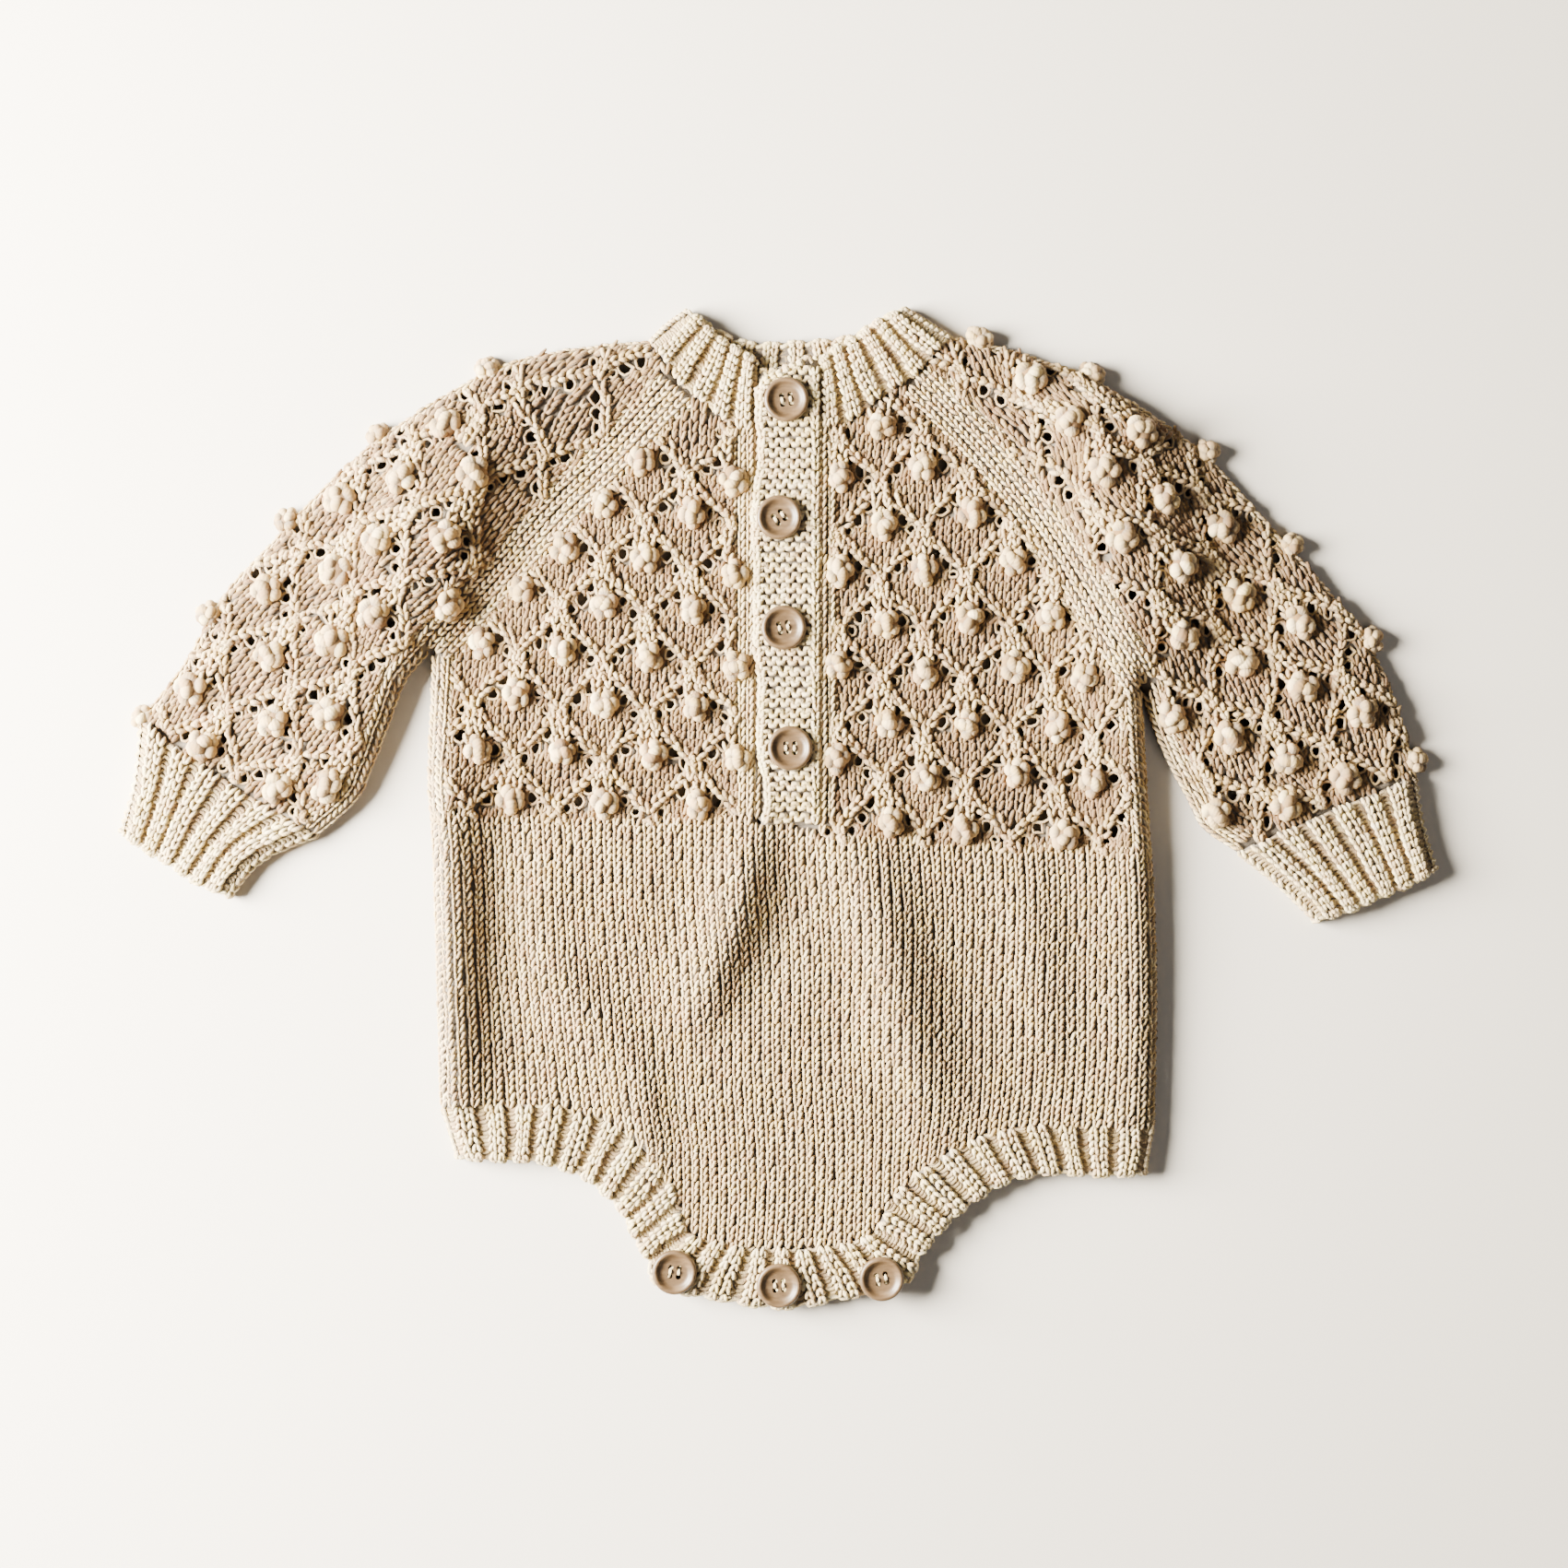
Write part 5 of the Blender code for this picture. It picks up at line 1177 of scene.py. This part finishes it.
def makeSleeve(side):
    outline, folds, opens, at = sleeveEdges(side)
    raglan = raglans[side]
    way = 1 if side == "left" else -1
    topLine, underLine = folds[::way]

    def offFolds(points):
        return np.minimum(distance(points, folds[0]), distance(points, folds[1]))

    def top(points):
        offOpens = np.minimum(distance(points, opens[0]), distance(points, opens[1]))
        along = np.clip(offOpens / cloth["puffReach"], 0, 1)
        across = np.clip(offFolds(points) / cloth["puffFade"], 0, 1)
        full = frontTop + cloth["sleevePuff"] * along**2 * (3 - 2 * along) * across + foldRise(points)
        return middle + (full - middle) * rounded(offFolds(points), cloth["sleeveRound"])

    def underside(points):
        return middle * (1 - rounded(offFolds(points), cloth["underRound"]))

    def fits(points, room):
        kept = (distance(points, raglan) > raglanWidth + room) & (distance(points, opens[0]) > 0.6 + room)
        kept &= distance(points, underLine) > 2 * sleeveLace["wale"] + room
        return kept & (offFolds(points) > 1.0 + room * 0.8)

    relief, underRelief = reliefOf(top, outline), reliefOf(underside, outline)
    yarn, balls, underYarn = newYarn(), newYarn(), newYarn()
    holes = drawLace(yarn, balls, side, sleeveLace, relief, outline, fits, topLine)
    columnsAlong(yarn, relief, outline, raglan[::-way], way, raglanEdge["columns"], raglanEdge["wale"],
                 base=0.5, style="open")
    columnsAlong(yarn, relief, outline, underLine[::way], way, underColumns, sleeveLace["wale"],
                 clear=lambda p: distance(p, raglan) > 3.5)
    columnsAlong(yarn, relief, outline, topLine[::way], way, [(0.3, -0.2)], sleeveLace["wale"])
    lattice = latticeOf(side)
    steps = np.array([sleeveLace["wale"] / np.linalg.norm(lattice["across"]),
                      sleeveLace["row"] / np.linalg.norm(lattice["up"])])

    def plain(spots):
        spots = spots * steps
        return lattice["origin"] + spots[:, :1] * lattice["across"] + spots[:, 1:] * lattice["up"]

    cells = cellsOver((-50, 50), (-50, 50)) + (0.5, 0)
    centres = plain(cells + (0, halfUp))
    kept = inside(centres, outline) & (offFolds(centres) > 2.2)
    knit(underYarn, onRelief(underRelief, plain, down=True), cells[kept], sleeveLace["wale"], lift=-0.5,
         fine=False, full=0.25)

    rings = np.concatenate([beside(fold[::2], off) for fold in folds for off in cloth["gridRings"]])
    spots, edges = fillPoints(outline, rings, cloth["gridStep"], holes)
    upperPlan = np.vstack([outline, spots])
    upperFaces = openFaces(triangulated(outline, spots, edges), upperPlan, holes)
    lowSpots, _ = fillPoints(outline, rings, cloth["gridStep"] * 1.6, noHoles)
    lowPlan = np.vstack([outline, lowSpots])
    lowFaces = triangulated(outline, lowSpots)[:, ::-1]
    onFold = np.concatenate([np.arange(at[k], at[k + 1] + 1) for k in (0, 2)])  # shared by both sides
    upper = np.column_stack([upperPlan, top(upperPlan) - cloth["bury"]])
    low = np.column_stack([lowPlan, underside(lowPlan) + cloth["backBury"]])
    upper[onFold, 2] = middle
    place = np.arange(len(low)) + len(upper)
    place[onFold] = onFold
    name = f"sleeve{side.capitalize()}"
    faces = np.concatenate([upperFaces, place[lowFaces]])
    shell = thicken(meshObject(name + "Cloth", np.vstack([upper, low]), faces, shadedBacking), cloth["shell"])
    yarnObject(name + "Stitches", yarn, cottonYarn)
    yarnObject(name + "Bobbles", balls, cottonYarn)
    yarnObject(name + "UnderStitches", underYarn, cottonYarn)
    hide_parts(f"sleeve_{side}")


for side in ("left", "right"):
    makeSleeve(side)
print("sleeves ready")


def finishBand(name, cadNode, surface, yarn, cyclic=False):
    made = bandObject(name + "Cloth", surface, cyclic)
    yarnObject(name + "Stitches", yarn, litRibYarn)
    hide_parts(cadNode)


def bothLayers(name, ribs, trims):  # a band from its front layer round the fold to its back layer
    upper = layerRings(name, ribs, trims, frontTop, 1)
    lower = layerRings(name, ribs, trims, rib["low"], rib["underRise"])
    return upper, foldRings(name, ribs), turnedBack(lower, 2 * ribs + 1)


for side in ("left", "right"):
    name, ribs = "leg" + side.capitalize(), rib["leg"]
    surface = bandSurface(*bothLayers(name, ribs, (half, middle)))
    yarn = newYarn()
    bandStitches(yarn, surface, (0, ribs + 1), 7)
    bandStitches(yarn, surface, (ribs + 1, 2 * ribs + 1), 7, fine=False)
    finishBand(name + "Band", f"leg_band_{side}", surface, yarn)

    name, ribs = "cuff" + side.capitalize(), rib["cuff"]
    near = turnedBack(foldRings(name, 0, atStart=True), 2 * ribs + 2)
    surface = bandSurface(*bothLayers(name, ribs, (middle, middle)), near)
    yarn = newYarn()
    bandStitches(yarn, surface, (0, ribs + 1), 12, towardsFree=False)
    bandStitches(yarn, surface, (ribs + 1, 2 * ribs + 2), 12, towardsFree=False, fine=False)
    finishBand(name + "Band", f"cuff_{side}", surface, yarn, cyclic=True)

rightRibs, backRibs, leftRibs = rib["neckRight"], rib["neckBack"], rib["neckLeft"]
backEnd = rightRibs + 1 + backRibs
leftEnd = backEnd + 1 + leftRibs
right = layerRings("neckRight", rightRibs, (half, middle), frontTop, 1)
back = layerRings("neckBack", backRibs, (middle, middle), rib["low"], rib["underRise"])
left = layerRings("neckLeft", leftRibs, (half, middle), frontTop, 1)
surface = bandSurface(right, foldRings("neckRight", rightRibs), turnedBack(back, backEnd),
                      turnedBack(foldRings("neckLeft", 0), backEnd + 1), turnedBack(left, leftEnd))
yarn = newYarn()
bandStitches(yarn, surface, (0, rightRibs + 1), 9)
bandStitches(yarn, surface, (rightRibs + 1, backEnd), 9, fine=False)
bandStitches(yarn, surface, (backEnd, leftEnd), 9)
inner = layerRings("neckBack", backRibs, (middle, middle), cloth["wall"] - 0.5, 0.6)  # seen in the neck
bandStitches(yarn, bandSurface(turnedBack(inner, backRibs)), (0, backRibs), 9)
finishBand("neckband", "neckband", surface, yarn)

ribs = rib["crotch"]
upper = layerRings("crotch", ribs, (half, half), frontTop, 1, foldRise)
lower = turnedBack(layerRings("crotch", ribs, (half, half), rib["low"], rib["underRise"]), ribs)
for side, rings, fine, rests in (("front", upper, True, "crotchBackCloth"), ("back", lower, False, "floor")):
    surface = bandSurface(rings, faceDown=not fine)
    yarn = newYarn()
    bandStitches(yarn, surface, (0, ribs), 7, fine=fine)
    finishBand("crotch" + side.capitalize(), f"crotch_band_{side}", surface, yarn)
print("bands ready")

placket = {
    "right": 16.2,
    "foot": -6.4,
    "top": 174.4,
    "wall": 2.4,
    "round": 2.6,
    "ridge": 4.05,
    "wale": 4.1,
    "edge": [(-6.4, -5.6), (3, -4), (12, -4.8), (18, -6.6), (28, -7.4), (37, -6.8), (48, -6.4), (56, -7.6),
             (66, -8.8), (82, -8.4), (92, -8.4), (104, -9), (115, -9.2), (124, -8.4), (132, -7), (142, -6.6),
             (150, -7.4), (166, -8)],  # y and x
    "corners": [(16.2, 174.4), (12, 175.6), (8.4, 174.6), (4.4, 172.8), (1, 171.2), (-2.4, 169.6),
                (-5.4, 167.4), (-7.6, 164.8)],
}


def placketEdge(y):  # the chain edge wanders a little
    return np.interp(y, *zip(*placket["edge"])) - 1.0


def placketUnder(points):
    return frontHeight(points) + 0.3 + half


sidesY = np.arange(placket["foot"], 160, 3.5)
placketOutline = np.array([(placketEdge(y), y) for y in sidesY[::-1]]
                          + [(x, placket["foot"]) for x in np.arange(-3.5, placket["right"] - 1, 4)]
                          + [(placket["right"], y) for y in sidesY]
                          + [(placket["right"], placket["top"] - 8)] + placket["corners"])


def placketFull(points):  # 0 at the placket's edge, 1 where it has its whole thickness
    return rounded(distance(points, closed(placketOutline)), placket["round"])


def placketHeight(points):
    return placketUnder(points) + placket["wall"] * (0.4 + 0.6 * placketFull(points))


def placketBacking(points):
    return placketUnder(points) + (placket["wall"] - rib["bury"]) * placketFull(points) + 0.1


placketRelief = reliefOf(placketHeight, placketOutline)
placketShell = panelObject("placketCloth", placketOutline, noRings, noHoles, placketBacking, shadedBandBacking, 1.0)


def garter(spots):
    y = placket["foot"] + 1.2 + spots[:, 1] * placket["ridge"]
    return np.column_stack([placketEdge(y) + 2.9 + spots[:, 0] * placket["wale"], y])


def hemPlace(spots):  # the column at the placket's right edge
    return np.column_stack([14.6 + spots[:, 0] * 3.3, placket["foot"] + 0.8 + spots[:, 1] * 3.05])


yarn = newYarn()
cells = cellsOver((-1, 6), (0, 46)) + (0.3, 0.4)
for leg, shift in (("cap", 0.0), ("cup", 0.5)):  # garter ridges: caps and cups by turns
    shifted = cells + (shift, 0)
    places = garter(shifted)
    fits = inside(places, placketOutline) & (places[:, 0] < 14.8)
    fits &= distance(places, closed(placketOutline)) > 0.8
    stitch(yarn, onRelief(placketRelief, garter), shifted[fits], leg, 1.12, 0.1, True, 0.5, 0.05)
rim = [(placketEdge(y), y) for y in np.arange(placket["foot"] + 1, 163, 3.0)] + placket["corners"][::-1][:-1]
rim = curve(rim, 1.0)
rows = np.arange(int(lengths(rim)[-1] / 3.0))
cells = np.column_stack([np.full(len(rows), -0.5), rows])
knit(yarn, onRelief(placketRelief, besideLine(rim, 2.9, 3.0)), cells, 3.5, lift=0.35, base=0.5, wobble=0.07,
     style="open", full=0.32)
rows = np.arange(58)
cells = np.column_stack([np.zeros(len(rows)), rows])
knit(yarn, onRelief(placketRelief, hemPlace), cells, 3.4, lift=0.45, base=0.58, wobble=0.06, style="open",
     full=0.28)
yarnObject("placketStitches", yarn, litRibYarn)
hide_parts("placket")

underOutline = np.array([(slotLow + half, y) for y in np.arange(172, slotFoot, -4.0)]
                        + [(x, slotFoot + half) for x in np.arange(slotLow + 2, slotHigh, 4.0)]
                        + [(slotHigh - half, y) for y in np.arange(slotFoot + 4, 173, 4.0)]
                        + [(slotHigh - half, 173.2), (8, 173.4), (2, 172.6), (-3, 171.6)])
underShell = panelObject("placketUnderCloth", underOutline, noRings, noHoles, lambda p: frontHeight(p) - 0.6,
                         shadedBandBacking, 2.0)
underRelief = reliefOf(frontHeight, underOutline)


def underGarter(spots):
    return spots * (placket["wale"], placket["ridge"]) + (slotLow, slotFoot)


yarn = newYarn()
for leg, shift in (("cap", 0.0), ("cup", 0.5)):
    cells = cellsOver((0, 6), (0, 44)) + (0.5 + shift, 0.4)
    places = underGarter(cells)
    fits = (places[:, 0] < slotHigh - 1) & (places[:, 1] > 136) & inside(places, underOutline)
    stitch(yarn, onRelief(underRelief, underGarter), cells[fits], leg, 1.0, -0.7, True, 0.4, 0.04)
yarnObject("placketUnderStitches", yarn, litRibYarn)
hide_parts("placket_under")
print("placket ready")

button = {
    "thick": 3.0,
    "profile": [(0, 0.5), (4.6, 0.5), (5.5, 0.54), (6.3, 0.74), (6.9, 0.95), (7.5, 1.02), (8.1, 0.97),
                (8.55, 0.8), (8.7, 0.55), (8.5, 0.28), (7.8, 0.08), (6.0, 0.0), (0, 0)],  # radius, height
    "hole": 1.05,  # radius, and the side of the square that the four stand on
    "pitch": 3.3,
    "turns": {"button": [8, 35, 10, 0], "crotch_button": [-6, 4, 12]},  # degrees, as each was sewn
    "thread": 0.25,
    "strands": (-0.36, 0.0, 0.36),
}


def link(name, mesh):
    made = bpy.data.objects.new(name, mesh)
    bpy.context.scene.collection.objects.link(made)
    return made


def turnedMesh():
    shape = bmesh.new()
    verts = [shape.verts.new((r * mm, 0, z * button["thick"] * mm)) for r, z in button["profile"]]
    edges = [shape.edges.new(pair) for pair in zip(verts[:-1], verts[1:])]
    bmesh.ops.spin(shape, geom=verts + edges, cent=(0, 0, 0), axis=(0, 0, 1), angle=2 * math.pi, steps=48,
                   use_merge=True)
    bmesh.ops.remove_doubles(shape, verts=shape.verts[:], dist=1e-6)
    bmesh.ops.recalc_face_normals(shape, faces=shape.faces[:])
    mesh = bpy.data.meshes.new("buttonTurned")
    shape.to_mesh(mesh)
    shape.free()
    return mesh


def drillMesh(x, y):
    radius, side = button["hole"] * mm, button["pitch"] / 2 * mm
    shape = bmesh.new()
    bmesh.ops.create_cone(shape, cap_ends=True, segments=20, radius1=radius, radius2=radius, depth=20 * mm)
    bmesh.ops.translate(shape, verts=shape.verts[:], vec=(x * side, y * side, 0))
    mesh = bpy.data.meshes.new("drill")
    shape.to_mesh(mesh)
    shape.free()
    return mesh


def buttonMesh():
    turned = link("buttonTurned", turnedMesh())
    drills = [link("drill", drillMesh(x, y)) for x, y in ((1, 1), (-1, 1), (-1, -1), (1, -1))]
    for drill in drills:
        cut = turned.modifiers.new("Hole", "BOOLEAN")
        cut.object, cut.solver = drill, "EXACT"
    drilled = bpy.data.meshes.new_from_object(turned.evaluated_get(bpy.context.evaluated_depsgraph_get()))
    for old in (turned, *drills):
        bpy.data.objects.remove(old)
    drilled.shade_smooth()
    drilled.set_sharp_from_angle(angle=math.radians(38))
    drilled.materials.clear()
    drilled.materials.append(corozo)
    bored = drilled.attributes.new("bored", "FLOAT", "FACE")  # the walls of the sewing holes, which get the painted shade
    for face, flag in zip(drilled.polygons, bored.data):
        near = math.hypot(*face.center.xy) < button["pitch"] * mm * 1.2
        flag.value = 1.0 if near and abs(face.normal.z) < 0.3 else 0.0
    return drilled


def sewnThread(centre, turnedBy):  # two bars of three strands, from hole to hole
    thread = newYarn()
    for across in (-1, 1):
        for strand in button["strands"]:
            t = np.linspace(-1, 1, 7)
            path = np.column_stack([across * button["pitch"] / 2 + strand * (1 - 0.5 * np.abs(t)),
                                    t * (button["pitch"] / 2 - 0.5), 0.7 + 1.25 * (1 - t**4)])
            path[:, :2] = path[:, :2] @ turnedBy.T
            addStrands(thread, (centre + path)[None], np.tile([0.0, 0.0, 1.0], (1, 7, 1)),
                       np.full((1, 7), button["thread"]), tones(1, 0.9), 5)
    return thread


turnedButton = buttonMesh()
for kind, turns in button["turns"].items():
    for i, degrees in enumerate(turns, 1):
        low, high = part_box(f"{kind}_{i}")
        centre = np.array([(low[0] + high[0]) / 2, (low[1] + high[1]) / 2, low[2]])
        mesh = turnedButton.copy()
        tilt = dice.normal(0, 0.02, 2)
        angle = math.radians(degrees)
        turnedBy = np.array([[math.cos(angle), -math.sin(angle)], [math.sin(angle), math.cos(angle)]])
        points = np.empty(len(mesh.vertices) * 3, np.float32)
        mesh.vertices.foreach_get("co", points)
        points = points.reshape(-1, 3)
        points[:, :2] = points[:, :2] @ turnedBy.T
        points[:, 2] += points[:, 0] * tilt[0] + points[:, 1] * tilt[1]
        points += centre
        mesh.vertices.foreach_set("co", points.ravel())
        made = link(f"{kind}{i}Turned", mesh)
        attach(made, "root")
        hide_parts(f"{kind}_{i}")
        yarnObject(f"{kind}{i}Thread", sewnThread(centre / mm, turnedBy), sewingThread)
print("buttons ready")

# floor, light and camera
floorMesh = bpy.data.meshes.new("floor")
shape = bmesh.new()
bmesh.ops.create_grid(shape, x_segments=1, y_segments=1, size=3.0)
shape.to_mesh(floorMesh)
shape.free()
floorMesh.materials.append(paintedBoard)
link("floor", floorMesh)

lights = {  # place, size, power and colour, in metres and watts
    "windowLight": ((-1.02, 0.11, 0.5), 0.76, 292, "#fff8ea"),
    "roomFill": ((0.9, -0.7, 1.8), 1.6, 5.5, "#fff6ee"),
}
room = {"colour": "#f2eee9", "strength": 0.12}
view = {"lens": 55, "width": 0.612, "middle": (0.0023, 0.0095), "level": 0.006}
sensor = 36

for name, (place, size, power, shade) in lights.items():
    lamp = bpy.data.lights.new(name, "AREA")
    lamp.shape, lamp.size, lamp.energy, lamp.color = "DISK", size, power, colour(shade)[:3]
    made = link(name, lamp)
    made.location = place
    made.rotation_euler = (-Vector(place)).to_track_quat("-Z", "Y").to_euler()
world = bpy.data.worlds.new("room")
bpy.context.scene.world = world
world.use_nodes = True
world.node_tree.nodes["Background"].inputs["Color"].default_value = colour(room["colour"])
world.node_tree.nodes["Background"].inputs["Strength"].default_value = room["strength"]

lens = bpy.data.cameras.new("above")
lens.lens = view["lens"]
camera = link("above", lens)
camera.location = (*view["middle"], view["width"] * view["lens"] / sensor + view["level"])
bpy.context.scene.camera = camera
